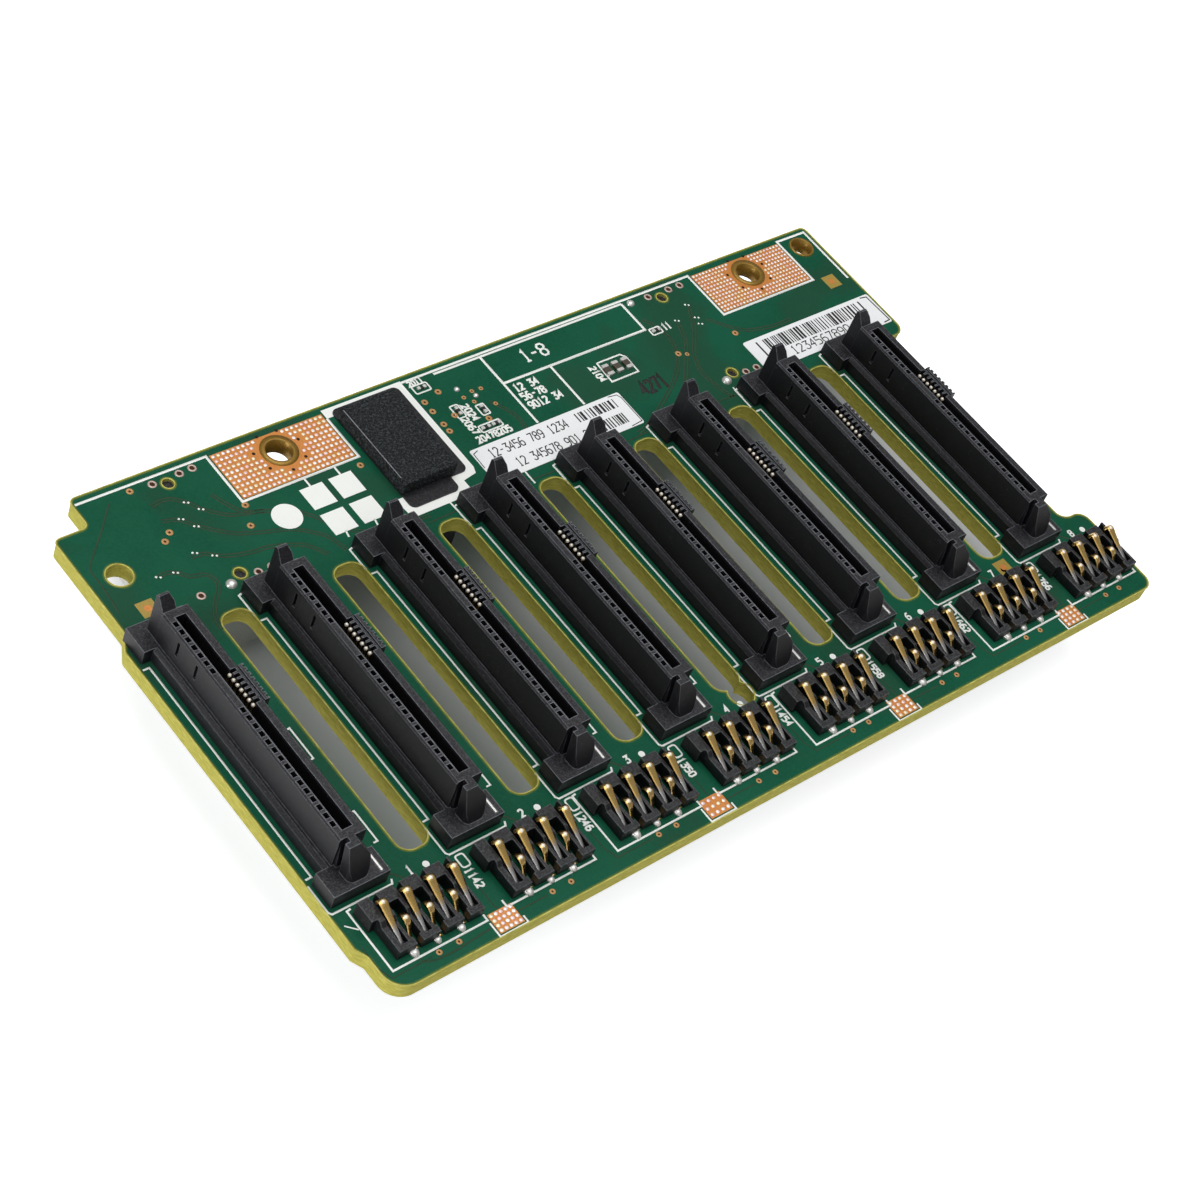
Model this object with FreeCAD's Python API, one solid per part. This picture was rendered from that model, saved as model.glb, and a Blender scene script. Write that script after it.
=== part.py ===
# Drive backplane board: one circuit board that carries eight drive sockets and, below each
# socket, a spring block that touches the drive carrier. Millimetres, +Z out of the socket face.
# The origin is midway between the two plated screw holes, on the board's rear face.
import FreeCAD, Part
import os
from math import atan2, cos, pi, sin, sqrt

V = FreeCAD.Vector

# ---- bays -----------------------------------------------------------------------------------
BAYS = 8
PITCH = 17.0                # from one drive to the next
BAY_X = -76.7               # left line of the first bay
BAY_Y = -22.0               # line at the signal end of the mating slots

# ---- board ----------------------------------------------------------------------------------
BOARD_T = 2.4
BOARD_MARGIN_LEFT = 1.3     # board left of the first bay's line
BOARD_MARGIN_RIGHT = 1.5    # board short of the last bay's far line
BOARD_TOP = 4.2
BOARD_BOTTOM = -72.5
STEP_IN = 1.5               # left edge stands back beside and above the signal foot
STEP_Y = 5.6                # start of that step above BAY_Y
STEP_RUN = 2.4
CORNER_NOTCH_W = 5.1
CORNER_NOTCH_H = 4.8
TAIL_IN = 0.8               # left edge stands back below the last break-off tab
TAIL_H = 6.2
SIDE_NOTCH_W = 4.1          # relief in the right edge
SIDE_NOTCH_Y0 = -35.6       # from BAY_Y
SIDE_NOTCH_Y1 = 2.7
EDGE_R = 0.9
EDGE_R_WIDE = 1.8
CORNER_R = 3.0

VENT_W = 4.5                # air slots between the sockets
VENT_R = 1.8
VENT_GAP = 0.5              # board left between an air slot and the next socket's foot
VENT_Y0 = -35.9
VENT_Y1 = 2.8
VENT_SHORT = 1.0            # the air slot before the sixth gap's far socket ends lower
VENT_SHORT_AT = 5

SCREW_SPACING = 84.8
SCREW_R = 1.95
LOCATOR_R = 1.75
LOCATOR_LEFT = (BAY_X + 4.5, BAY_Y + 13.4)
LOCATOR_RIGHT = (BAY_X + 131.2, BAY_Y + 22.9)
TOOL_HOLE_R = 1.85
TOOL_HOLE = (BAY_X + 65.2, BAY_Y - 37.0)

# ---- drive socket, from the bay's corner, z from the board's face -------------------------------
FOOT_X0 = -0.6
FOOT_X1 = 7.4
FOOT_H = 2.3
FOOT_END_Y = 4.85           # signal end
FOOT_TAIL_Y = -37.85        # power end
FOOT_EDGE_R = 0.3
BODY_X0 = 1.6
BODY_X1 = 5.4
BODY_Y0 = -34.1
BODY_Y1 = 1.9
BODY_H = 7.1
BODY_EDGE = 0.25
LEDGE_W = 0.9               # ledge along each flank, joins the two feet
LEDGE_BEVEL = 0.5
SLOT_X0 = 2.65              # mating slot
SLOT_X1 = 4.2
SLOT_Y0 = -32.9
SLOT_Y1 = 0.8
SLOT_DEPTH = 5.0
POCKET_W = 0.76
POCKET_D = 0.7              # pocket depth into the wall
CONTACT_PITCH = 1.27
SIGNALS = 7
SIGNAL_Y = -0.1
POWERS = 15
POWER_Y = -13.95
PORT_B_CONTACTS = 7         # second port, on the other wall
PORT_B_PITCH = 0.8
PORT_B_Y = -8.7
PORT_B_POCKET_W = 0.5
CONTACT_CLEAR = 0.08        # contact to its pocket, each side
CONTACT_T = 0.3
CONTACT_DROP = 0.7          # contact tip below the housing's top
CONTACT_PROUD = 0.25        # second-port contact stands into the slot
BUMP_D = 0.7                # ribbed bump behind the second port
BUMP_MARGIN = 0.4
BUMP_GROOVE_W = 0.35
BUMP_GROOVE_D = 0.3
SLIT_W = 0.45               # core slits in the left flank
SLIT_D = 0.5
SLIT_Z0 = 3.65
SLIT_Z1 = 6.1
SLIT_YS = (-2.05, -5.8)
POST_X0 = 1.6               # guide post at the signal end
POST_X1 = 3.8
POST_D = 1.8
POST_TOP = 8.8
POST_CREST = 0.5
POST_TAPER = 0.15
POST_BEVEL = 0.9
TAIL_POST_X0 = 1.95         # buttress at the power end
TAIL_POST_X1 = 5.0
TAIL_POST_REACH = 3.1
TAIL_POST_TOP = 1.3         # reach left at its top
TAIL_POST_CREST = 1.7       # level part of its top, left of the sloping shoulder
TAIL_POST_SHOULDER = 5.2
TAIL_POST_R = 0.9
GROOVE_NEAR = 0.45          # leaning groove between it and the body
GROOVE_FAR = 1.1
GROOVE_LEAN = 0.7
GROOVE_X1 = 2.7
HOLD_X = 6.5                # soldered hold-down at the power end
HOLD_T = 0.3
HOLD_Y0 = -37.4
HOLD_Y1 = -34.9
HOLD_CLEAR = 0.05

# ---- spring block, from the bay's corner, z from the board's face --------------------------------
BLOCK_X0 = 1.3
BLOCK_X1 = 14.5
BLOCK_Y0 = -47.0
BLOCK_Y1 = -39.5
BLOCK_H = 1.7
BLOCK_FIN_H = 2.3
BLOCK_FIN_Y = -42.9
BLOCK_TAB = 0.8              # key tab on the left, at the socket's side
BLOCK_TAB_Y = -42.5
BLOCK_FLOOR = 0.8
SPRINGS = 4
SPRING_X = 3.4
SPRING_PITCH = 3.43
SPRING_W = 0.8
SPRING_T = 0.2
SPRING_CLEAR = 0.1
SPRING_REACH = 4.8          # from the upright leg to the crown
SPRING_TOP = 3.4
SPRING_HOOK = 0.5
LEG_IN = 1.0                # upright leg inside the block's lower edge
CURL_W = 0.7
CURL_T = 0.2
CURL_X = 1.72               # from a spring to the curled contact beside it
CURL_TOP = 2.4
CURL_FOOT = 1.0
CURL_CROWN = 3.2            # crown inside the block's lower edge
WELL_W = 1.5
WELL_L = 5.7

# ---- power header behind the board, with the insulating film and foam over its pin ends --------
HEADER_X = BAY_X + 50.2
HEADER_Y = BAY_Y + 15.6
HEADER_W = 9.6
HEADER_L = 18.0
HEADER_H = 12.8
HEADER_FLOOR = 3.0
HEADER_WALL = 0.8
HEADER_ROWS = 4
HEADER_PITCH = 4.2
HEADER_ROW_GAP = 4.2
HEADER_CELL = 3.3
HEADER_PIN = 0.9
HEADER_PIN_END = 2.5        # pin end inside the mouth
HEADER_LATCH_W = 3.4
HEADER_LATCH_D = 1.3
PIN_HOLE_R = 0.75
FILM_T = 0.2
FILM_X0 = HEADER_X - 5.7
FILM_X1 = HEADER_X + 5.3
FILM_Y0 = HEADER_Y - 9.2
FILM_Y1 = HEADER_Y + 9.3
FILM_CUT_W = 3.0
FILM_CUT_H = 2.3
FILM_R = 0.9
FOAM_W = 8.8
FOAM_L = 14.6
FOAM_T = 2.1
FOAM_EDGE_Y = 1.5           # film left showing above the foam
FOAM_BEVEL = 0.15

# ---- host connectors behind the board ------------------------------------------------------------
HOST_XS = (BAY_X + 18.1, BAY_X + 102.85)
HOST_Y = BAY_Y + 15.3
HOST_W = 12.0
HOST_L = 19.6
HOST_H = 11.0
HOST_SHELL_T = 0.3
HOST_BASE_H = 3.0
HOST_FIT = 0.1
TONGUE_W = 1.2
TONGUE_L = 15.6
TONGUE_H = 9.4
HOST_CONTACTS = 18
HOST_CONTACT_PITCH = 0.8
HOST_CONTACT_W = 0.45
HOST_CONTACT_T = 0.2
HOST_CONTACT_END = 1.0
PEG_R = 0.8
PEG_CLEAR = 0.05
PEG_SPREAD = 16.0
PEG_L = 1.9
LATCH_WINDOW_W = 3.0
LATCH_WINDOW_H = 2.0

# ---- parts soldered on the rear and front ----------------------------------------------------------
CONTROLLER = (BAY_X + 77.2, BAY_Y + 14.5)
CONTROLLER_W = 10.0
CONTROLLER_H = 0.9
CRYSTAL = (CONTROLLER[0] + 11.0, CONTROLLER[1])
CRYSTAL_W = 3.2
CRYSTAL_L = 5.0
CRYSTAL_H = 1.0
INDUCTOR = (BAY_X + 33.7, BAY_Y + 12.5)
INDUCTOR_W = 7.0
INDUCTOR_H = 3.0
INDUCTOR_BEVEL = 1.0
CAPACITOR_X = INDUCTOR[0] + 7.5
CAPACITOR_Y = INDUCTOR[1] - 4.0
CAPACITOR_PITCH = 4.6
CAPACITORS = 3
CAPACITOR_W = 3.2
CAPACITOR_D = 2.8
CAPACITOR_H = 1.9
CHIP_L = 1.6
CHIP_W = 0.8
CHIP_H = 0.45
REAR_CHIPS = 7
FRONT_CHIP_START = (BAY_X + 84.95, BAY_Y + 14.1)
FRONT_CHIP_PITCH = 1.75
FRONT_CHIPS = 3
FRONT_CHIP_L = 1.9
FRONT_CHIP_W = 1.0


# ---- helpers ---------------------------------------------------------------------------------
def block(x0, x1, y0, y1, z0, z1):
    return Part.makeBox(x1 - x0, y1 - y0, z1 - z0, V(x0, y0, z0))


def rounded_face(corners, z):
    """Flat face through (x, y, radius) corners, taken in turn, each rounded by its radius."""
    edges = []
    last = None
    first = None
    count = len(corners)
    for i in range(count):
        x, y, r = corners[i]
        here = V(x, y, z)
        before = V(corners[i - 1][0], corners[i - 1][1], z) - here
        after = V(corners[(i + 1) % count][0], corners[(i + 1) % count][1], z) - here
        half = before.getAngle(after) / 2
        if r > 0 and half < pi / 2 - 0.01:
            before.normalize()
            after.normalize()
            run = r * cos(half) / sin(half)
            start = here + before * run
            end = here + after * run
            middle = before + after
            middle.normalize()
            tip = here + middle * (r / sin(half) - r)
            arc = Part.Arc(start, tip, end).toShape()
        else:
            start = here
            end = here
            arc = None
        if last is not None:
            edges.append(Part.makeLine(last, start))
        else:
            first = start
        if arc is not None:
            edges.append(arc)
        last = end
    edges.append(Part.makeLine(last, first))
    return Part.Face(Part.Wire(edges))


def slab(corners, z0, z1):
    return rounded_face(corners, z0).extrude(V(0, 0, z1 - z0))


def rounded_box(x0, x1, y0, y1, z0, z1, r):
    return slab([(x0, y0, r), (x1, y0, r), (x1, y1, r), (x0, y1, r)], z0, z1)


def prism_x(points, x0, x1):
    """Solid with the (y, z) outline, from x0 to x1."""
    ring = [V(x0, y, z) for y, z in points]
    return Part.Face(Part.makePolygon(ring + ring[:1])).extrude(V(x1 - x0, 0, 0))


def prism_y(points, y0, y1):
    """Solid with the (x, z) outline, from y0 to y1."""
    ring = [V(x, y0, z) for x, z in points]
    return Part.Face(Part.makePolygon(ring + ring[:1])).extrude(V(0, y1 - y0, 0))


def strip(path, thick, x_mid, width):
    """Sheet strip bent along (y, z) points, thickness laid evenly to both sides."""
    one = []
    other = []
    for i, (y, z) in enumerate(path):
        ya, za = path[max(i - 1, 0)]
        yb, zb = path[min(i + 1, len(path) - 1)]
        run = sqrt((yb - ya) ** 2 + (zb - za) ** 2)
        ny = -(zb - za) / run * thick / 2
        nz = (yb - ya) / run * thick / 2
        one.append((y + ny, z + nz))
        other.append((y - ny, z - nz))
    return prism_x(one + other[::-1], x_mid - width / 2, x_mid + width / 2)


def at_bay(shape, k):
    """Copy of a shape drawn from the bay's corner, set on the board's face in bay k."""
    copy = shape.copy()
    copy.translate(V(BAY_X + k * PITCH, BAY_Y, BOARD_T))
    return copy


def keep(name, *shapes):
    """Writes one node: a single solid, or several equal pieces together."""
    shape = shapes[0] if len(shapes) == 1 else Part.makeCompound(list(shapes))
    shape.exportStep("parts/" + name + ".step")


def rear_block(x, y, w, d, h):
    return block(x - w / 2, x + w / 2, y - d / 2, y + d / 2, -h, 0)


# ---- circuit board -----------------------------------------------------------------------------
def board_outline():
    left = BAY_X - BOARD_MARGIN_LEFT
    right = BAY_X + BAYS * PITCH - BOARD_MARGIN_RIGHT
    inner = left + STEP_IN
    step = BAY_Y + STEP_Y
    notch = right - SIDE_NOTCH_W
    return [
        (left + TAIL_IN, BOARD_BOTTOM, CORNER_R),
        (right, BOARD_BOTTOM, EDGE_R_WIDE),
        (right, BAY_Y + SIDE_NOTCH_Y0, EDGE_R_WIDE),
        (notch, BAY_Y + SIDE_NOTCH_Y0, EDGE_R_WIDE),
        (notch, BAY_Y + SIDE_NOTCH_Y1, EDGE_R_WIDE),
        (right, BAY_Y + SIDE_NOTCH_Y1, EDGE_R_WIDE),
        (right, BOARD_TOP, EDGE_R),
        (inner + CORNER_NOTCH_W, BOARD_TOP, EDGE_R),
        (inner + CORNER_NOTCH_W, BOARD_TOP - CORNER_NOTCH_H, EDGE_R),
        (inner, BOARD_TOP - CORNER_NOTCH_H, EDGE_R),
        (inner, step, EDGE_R),
        (left, step - STEP_RUN, EDGE_R),
        (left, BOARD_BOTTOM + TAIL_H + TAIL_IN, 0),
        (left + TAIL_IN, BOARD_BOTTOM + TAIL_H - TAIL_IN, 0),
    ]


def round_hole(x, y, r):
    return Part.makeCylinder(r, 3 * BOARD_T, V(x, y, -BOARD_T))


def vent(k):
    x1 = BAY_X + (k + 1) * PITCH + FOOT_X0 - VENT_GAP
    top = VENT_Y1 - (VENT_SHORT if k == VENT_SHORT_AT else 0)
    y0 = BAY_Y + VENT_Y0
    return rounded_box(x1 - VENT_W, x1, y0, BAY_Y + top, -BOARD_T, 2 * BOARD_T, VENT_R)


def header_pins():
    for row in range(HEADER_ROWS):
        for side in (-1, 1):
            y = HEADER_Y + (row - (HEADER_ROWS - 1) / 2) * HEADER_PITCH
            yield HEADER_X + side * HEADER_ROW_GAP / 2, y


def host_pegs():
    for x in HOST_XS:
        for side in (-1, 1):
            yield x, HOST_Y + side * PEG_SPREAD / 2


def circuit_board():
    board = slab(board_outline(), 0, BOARD_T)
    cuts = [vent(k) for k in range(BAYS - 1)]
    cuts += [round_hole(side * SCREW_SPACING / 2, 0, SCREW_R) for side in (-1, 1)]
    cuts += [round_hole(x, y, LOCATOR_R) for x, y in (LOCATOR_LEFT, LOCATOR_RIGHT)]
    cuts.append(round_hole(TOOL_HOLE[0], TOOL_HOLE[1], TOOL_HOLE_R))
    cuts += [round_hole(x, y, PEG_R + PEG_CLEAR) for x, y in host_pegs()]
    cuts += [round_hole(x, y, PIN_HOLE_R) for x, y in header_pins()]
    return board.cut(cuts)


# ---- drive socket --------------------------------------------------------------------------------
def row(first, pitch, count):
    return [first - i * pitch for i in range(count)]


PRIMARY_YS = row(SIGNAL_Y, CONTACT_PITCH, SIGNALS) + row(POWER_Y, CONTACT_PITCH, POWERS)
PORT_B_YS = row(PORT_B_Y, PORT_B_PITCH, PORT_B_CONTACTS)


def socket_feet():
    """The two end feet and the bevelled ledges that join them, as one outline each."""
    tail = block(FOOT_X0, FOOT_X1, FOOT_TAIL_Y, BODY_Y0, 0, FOOT_H)
    head = block(FOOT_X0, FOOT_X1, SLOT_Y1, FOOT_END_Y, 0, FOOT_H)
    outer0 = BODY_X0 - LEDGE_W
    outer1 = BODY_X1 + LEDGE_W
    ledge = prism_y([
        (outer0, 0),
        (outer1, 0),
        (outer1, FOOT_H - LEDGE_BEVEL),
        (outer1 - LEDGE_BEVEL, FOOT_H),
        (outer0 + LEDGE_BEVEL, FOOT_H),
        (outer0, FOOT_H - LEDGE_BEVEL),
    ], BODY_Y0, SLOT_Y1)
    return tail.fuse([head, ledge])


def signal_post():
    """Guide post: its top slopes down from a crest at the back, towards the slot."""
    y0 = BODY_Y1
    y1 = BODY_Y1 + POST_D
    side = prism_x([
        (y0, 0),
        (y1, 0),
        (y1, POST_TOP - POST_CREST / 2),
        (y1 - POST_CREST / 2, POST_TOP),
        (y1 - POST_CREST, POST_TOP),
        (y0, BODY_H),
    ], POST_X0, POST_X1)
    face = prism_y([
        (POST_X0, 0),
        (POST_X1, 0),
        (POST_X1 - POST_TAPER, POST_TOP - POST_BEVEL),
        (POST_X1 - POST_TAPER - POST_BEVEL / 2, POST_TOP),
        (POST_X0 + POST_TAPER, POST_TOP),
    ], y0, y1)
    return side.common(face)


def tail_post():
    """Buttress: its nose leans in towards the body and its right shoulder slopes."""
    y1 = BODY_Y0
    y0 = y1 - TAIL_POST_REACH
    plan = slab([
        (TAIL_POST_X0, y0, TAIL_POST_R),
        (TAIL_POST_X1, y0, TAIL_POST_R),
        (TAIL_POST_X1, y1, 0),
        (TAIL_POST_X0, y1, 0),
    ], 0, BODY_H)
    side = prism_x([
        (y1, 0),
        (y0, 0),
        (y0, FOOT_H),
        (y1 - TAIL_POST_TOP, BODY_H),
        (y1, BODY_H),
    ], TAIL_POST_X0, TAIL_POST_X1)
    face = prism_y([
        (TAIL_POST_X0, 0),
        (TAIL_POST_X1, 0),
        (TAIL_POST_X1, TAIL_POST_SHOULDER),
        (TAIL_POST_X0 + TAIL_POST_CREST, BODY_H),
        (TAIL_POST_X0, BODY_H),
    ], y0, y1)
    return plan.common(side).common(face)


def tail_groove():
    y1 = BODY_Y0
    return prism_x([
        (y1 - GROOVE_NEAR, FOOT_H),
        (y1 - GROOVE_FAR, FOOT_H),
        (y1 - GROOVE_FAR + GROOVE_LEAN, BODY_H + 1),
        (y1 - GROOVE_NEAR + GROOVE_LEAN, BODY_H + 1),
    ], 0, GROOVE_X1)


def port_b_bump():
    """Ribbed bump on the right flank, behind the second port's contacts."""
    y0 = PORT_B_YS[-1] - BUMP_MARGIN
    y1 = PORT_B_YS[0] + BUMP_MARGIN
    x1 = BODY_X1 + BUMP_D
    bump = block(BODY_X1, x1, y0, y1, 0, BODY_H)
    grooves = [
        block(x1 - BUMP_GROOVE_D, x1 + 1, y - BUMP_GROOVE_W / 2, y + BUMP_GROOVE_W / 2,
              FOOT_H, BODY_H + 1)
        for y in PORT_B_YS
    ]
    return bump.cut(grooves)


def pocket(x0, x1, y, width):
    return block(x0, x1, y - width / 2, y + width / 2, -1, BODY_H + 1)


def drive_socket():
    body = prism_y([
        (BODY_X0, 0),
        (BODY_X1, 0),
        (BODY_X1, BODY_H - BODY_EDGE),
        (BODY_X1 - BODY_EDGE, BODY_H),
        (BODY_X0 + BODY_EDGE, BODY_H),
        (BODY_X0, BODY_H - BODY_EDGE),
    ], BODY_Y0, BODY_Y1)
    body = body.fuse([socket_feet(), signal_post(), tail_post(), port_b_bump()])
    cuts = [block(SLOT_X0, SLOT_X1, SLOT_Y0, SLOT_Y1, BODY_H - SLOT_DEPTH, BODY_H + 1)]
    cuts += [pocket(SLOT_X0 - POCKET_D, SLOT_X0, y, POCKET_W) for y in PRIMARY_YS]
    cuts += [pocket(SLOT_X1 - CONTACT_PROUD, SLOT_X1 + POCKET_D, y, PORT_B_POCKET_W)
             for y in PORT_B_YS]
    cuts += [block(BODY_X0 - 1, BODY_X0 + SLIT_D, y - SLIT_W / 2, y + SLIT_W / 2, SLIT_Z0, SLIT_Z1)
             for y in SLIT_YS]
    cuts += [tail_groove(), hold_down(HOLD_CLEAR)]
    return body.cut(cuts).removeSplitter()


def hold_down(grow):
    """Solder tab let into the power foot. Grown by its clearance, it is its own slot."""
    x0 = HOLD_X - HOLD_T / 2 - grow
    x1 = HOLD_X + HOLD_T / 2 + grow
    return block(x0, x1, HOLD_Y0 - grow, HOLD_Y1 + grow, -grow, FOOT_H + HOLD_CLEAR + grow)


def socket_contacts():
    """Blades that stand on the board in their pockets, one row in each wall."""
    top = BODY_H - CONTACT_DROP
    half = POCKET_W / 2 - CONTACT_CLEAR
    half_b = PORT_B_POCKET_W / 2 - CONTACT_CLEAR
    x0 = SLOT_X0 - POCKET_D + CONTACT_CLEAR
    x1 = SLOT_X1 - CONTACT_PROUD + CONTACT_CLEAR
    primary = [block(x0, x0 + CONTACT_T, y - half, y + half, 0, top) for y in PRIMARY_YS]
    second = [block(x1, x1 + CONTACT_T, y - half_b, y + half_b, 0, top) for y in PORT_B_YS]
    return primary + second


# ---- spring block ----------------------------------------------------------------------------------
def spring_xs():
    return [SPRING_X + i * SPRING_PITCH for i in range(SPRINGS)]


def spring_block():
    """Comb of columns: a channel for each cantilever spring, a well for each curled contact."""
    side = prism_x([
        (BLOCK_Y0, 0),
        (BLOCK_Y1, 0),
        (BLOCK_Y1, BLOCK_FIN_H),
        (BLOCK_FIN_Y, BLOCK_FIN_H),
        (BLOCK_FIN_Y - (BLOCK_FIN_H - BLOCK_H), BLOCK_H),
        (BLOCK_Y0, BLOCK_H),
    ], BLOCK_X0 + BLOCK_TAB, BLOCK_X1)
    side = side.fuse(block(BLOCK_X0, BLOCK_X0 + BLOCK_TAB, BLOCK_TAB_Y, BLOCK_Y1, 0, BLOCK_FIN_H))
    half = SPRING_W / 2 + SPRING_CLEAR
    leg = BLOCK_Y0 + LEG_IN
    near = leg - SPRING_T / 2 - SPRING_CLEAR
    cuts = []
    for x in spring_xs():
        cuts.append(block(x - half, x + half, near, BLOCK_Y1 + 1, BLOCK_FLOOR, BLOCK_FIN_H + 1))
        cuts.append(block(x - half, x + half, near, leg + SPRING_T / 2 + SPRING_CLEAR, -1, BLOCK_FLOOR))
    for x in spring_xs()[:-1]:
        mid = x + CURL_X
        cuts.append(block(mid - WELL_W / 2, mid + WELL_W / 2, BLOCK_Y0 + CURL_FOOT,
                          BLOCK_Y0 + WELL_L, -1, BLOCK_FIN_H + 1))
        slim = CURL_W / 2 + SPRING_CLEAR
        cuts.append(block(mid - slim, mid + slim, BLOCK_Y0 - 1, BLOCK_Y0 + WELL_L / 2,
                          -1, BLOCK_FIN_H + 1))
    return side.cut(cuts).removeSplitter()


def cantilever(x):
    leg = BLOCK_Y0 + LEG_IN
    crown = leg + SPRING_REACH
    knee = BLOCK_FLOOR + SPRING_T
    path = [
        (leg, 0),
        (leg, knee),
        (crown - SPRING_HOOK, SPRING_TOP - SPRING_HOOK / 2),
        (crown, SPRING_TOP - SPRING_T / 2),
        (crown + SPRING_HOOK, SPRING_TOP - SPRING_HOOK),
    ]
    return strip(path, SPRING_T, x, SPRING_W)


def curl(x):
    crown = BLOCK_Y0 + CURL_CROWN
    path = [
        (BLOCK_Y0, CURL_T / 2),
        (BLOCK_Y0 + CURL_FOOT, CURL_T / 2),
        (crown - CURL_FOOT / 2, CURL_TOP * 0.8),
        (crown, CURL_TOP - CURL_T / 2),
        (crown + CURL_FOOT / 2, CURL_TOP * 0.8),
        (crown + CURL_FOOT, CURL_TOP * 0.4),
    ]
    return strip(path, CURL_T, x + CURL_X, CURL_W)


def block_springs():
    xs = spring_xs()
    return [cantilever(x) for x in xs] + [curl(x) for x in xs[:-1]]


# ---- power header, film and foam ---------------------------------------------------------------------
def power_header():
    body = rear_block(HEADER_X, HEADER_Y, HEADER_W, HEADER_L, HEADER_H)
    latch_x = HEADER_X + HEADER_W / 2
    latch = block(latch_x, latch_x + HEADER_LATCH_D, HEADER_Y - HEADER_LATCH_W / 2,
                  HEADER_Y + HEADER_LATCH_W / 2, -HEADER_H, -HEADER_H / 2)
    body = body.fuse(latch)
    half = HEADER_CELL / 2
    cuts = []
    for x, y in header_pins():
        cuts.append(block(x - half, x + half, y - half, y + half, -HEADER_H - 1, -HEADER_FLOOR))
        slim = HEADER_PIN / 2 + CONTACT_CLEAR
        cuts.append(block(x - slim, x + slim, y - slim, y + slim, -HEADER_FLOOR, 1))
    return body.cut(cuts)


def power_header_pins():
    half = HEADER_PIN / 2
    low = HEADER_PIN_END - HEADER_H
    return [block(x - half, x + half, y - half, y + half, low, BOARD_T) for x, y in header_pins()]


def insulating_film():
    step_x = FILM_X1 - FILM_CUT_W
    step_y = FILM_Y0 + FILM_CUT_H
    return slab([
        (FILM_X0, FILM_Y0, FILM_R),
        (step_x, FILM_Y0, FILM_R),
        (step_x, step_y, FILM_R / 3),
        (FILM_X1, step_y, FILM_R),
        (FILM_X1, FILM_Y1, FILM_R),
        (FILM_X0, FILM_Y1, FILM_R),
    ], BOARD_T, BOARD_T + FILM_T)


def foam_pad():
    top = FILM_Y1 - FOAM_EDGE_Y
    base = BOARD_T + FILM_T
    foam = block(FILM_X0, FILM_X0 + FOAM_W, top - FOAM_L, top, base, base + FOAM_T)
    upper = [edge for edge in foam.Edges if edge.BoundBox.ZMin > base + FOAM_T / 2]
    return foam.makeChamfer(FOAM_BEVEL, upper)


# ---- host connectors -------------------------------------------------------------------------------
def host_shell(x):
    outer = rear_block(x, HOST_Y, HOST_W, HOST_L, HOST_H)
    inner = block(x - HOST_W / 2 + HOST_SHELL_T, x + HOST_W / 2 - HOST_SHELL_T,
                  HOST_Y - HOST_L / 2 + HOST_SHELL_T, HOST_Y + HOST_L / 2 - HOST_SHELL_T,
                  -HOST_H - 1, 1)
    half = LATCH_WINDOW_W / 2
    middle = -(HOST_H + HOST_BASE_H) / 2
    windows = [
        block(x - HOST_W, x + HOST_W, HOST_Y + side * HOST_L / 4 - half,
              HOST_Y + side * HOST_L / 4 + half, middle - LATCH_WINDOW_H / 2,
              middle + LATCH_WINDOW_H / 2)
        for side in (-1, 1)
    ]
    return outer.cut([inner] + windows)


def host_contact_ys():
    first = HOST_Y - (HOST_CONTACTS - 1) / 2 * HOST_CONTACT_PITCH
    return [first + i * HOST_CONTACT_PITCH for i in range(HOST_CONTACTS)]


def host_insert(x):
    """Base that fills the shell, the tongue that stands in it and the two locating pegs."""
    inset = HOST_SHELL_T + HOST_FIT
    base = rear_block(x, HOST_Y, HOST_W - 2 * inset, HOST_L - 2 * inset, HOST_BASE_H)
    tongue = rear_block(x, HOST_Y, TONGUE_W, TONGUE_L, TONGUE_H)
    pegs = [Part.makeCylinder(PEG_R, PEG_L, V(px, py, 0)) for px, py in host_pegs() if px == x]
    return base.fuse([tongue] + pegs)


def host_contacts(x):
    """Blades laid on both faces of the tongue, from the base to near the tongue's end."""
    low = HOST_CONTACT_END - TONGUE_H
    strips = []
    for side in (-1, 1):
        near = x + side * TONGUE_W / 2
        far = near + side * HOST_CONTACT_T
        for y in host_contact_ys():
            strips.append(block(min(near, far), max(near, far), y - HOST_CONTACT_W / 2,
                                y + HOST_CONTACT_W / 2, low, -HOST_BASE_H))
    return strips


# ---- parts soldered flat ---------------------------------------------------------------------------
def inductor():
    x, y = INDUCTOR
    half = INDUCTOR_W / 2
    cut = INDUCTOR_BEVEL
    return slab([
        (x - half + cut, y - half, 0), (x + half - cut, y - half, 0),
        (x + half, y - half + cut, 0), (x + half, y + half - cut, 0),
        (x + half - cut, y + half, 0), (x - half + cut, y + half, 0),
        (x - half, y + half - cut, 0), (x - half, y - half + cut, 0),
    ], -INDUCTOR_H, 0)


def capacitors():
    ys = [CAPACITOR_Y + i * CAPACITOR_PITCH for i in range(CAPACITORS)]
    return [rear_block(CAPACITOR_X, y, CAPACITOR_W, CAPACITOR_D, CAPACITOR_H) for y in ys]


def rear_chips():
    """Two rows of chip parts, above and below the controller."""
    x0 = CONTROLLER[0] - CONTROLLER_W / 2
    reach = CONTROLLER_W / 2 + CHIP_L
    step = CONTROLLER_W / (REAR_CHIPS - 1)
    return [
        rear_block(x0 + i * step, CONTROLLER[1] + side * reach, CHIP_W, CHIP_L, CHIP_H)
        for side in (-1, 1) for i in range(REAR_CHIPS)
    ]


def front_chips():
    x0, y0 = FRONT_CHIP_START
    xs = [x0 + i * FRONT_CHIP_PITCH for i in range(FRONT_CHIPS)]
    return [block(x, x + FRONT_CHIP_W, y0, y0 + FRONT_CHIP_L, BOARD_T, BOARD_T + CHIP_H) for x in xs]


# ---- build -----------------------------------------------------------------------------------------
os.makedirs("parts", exist_ok=True)
keep("circuit_board", circuit_board())

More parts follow.
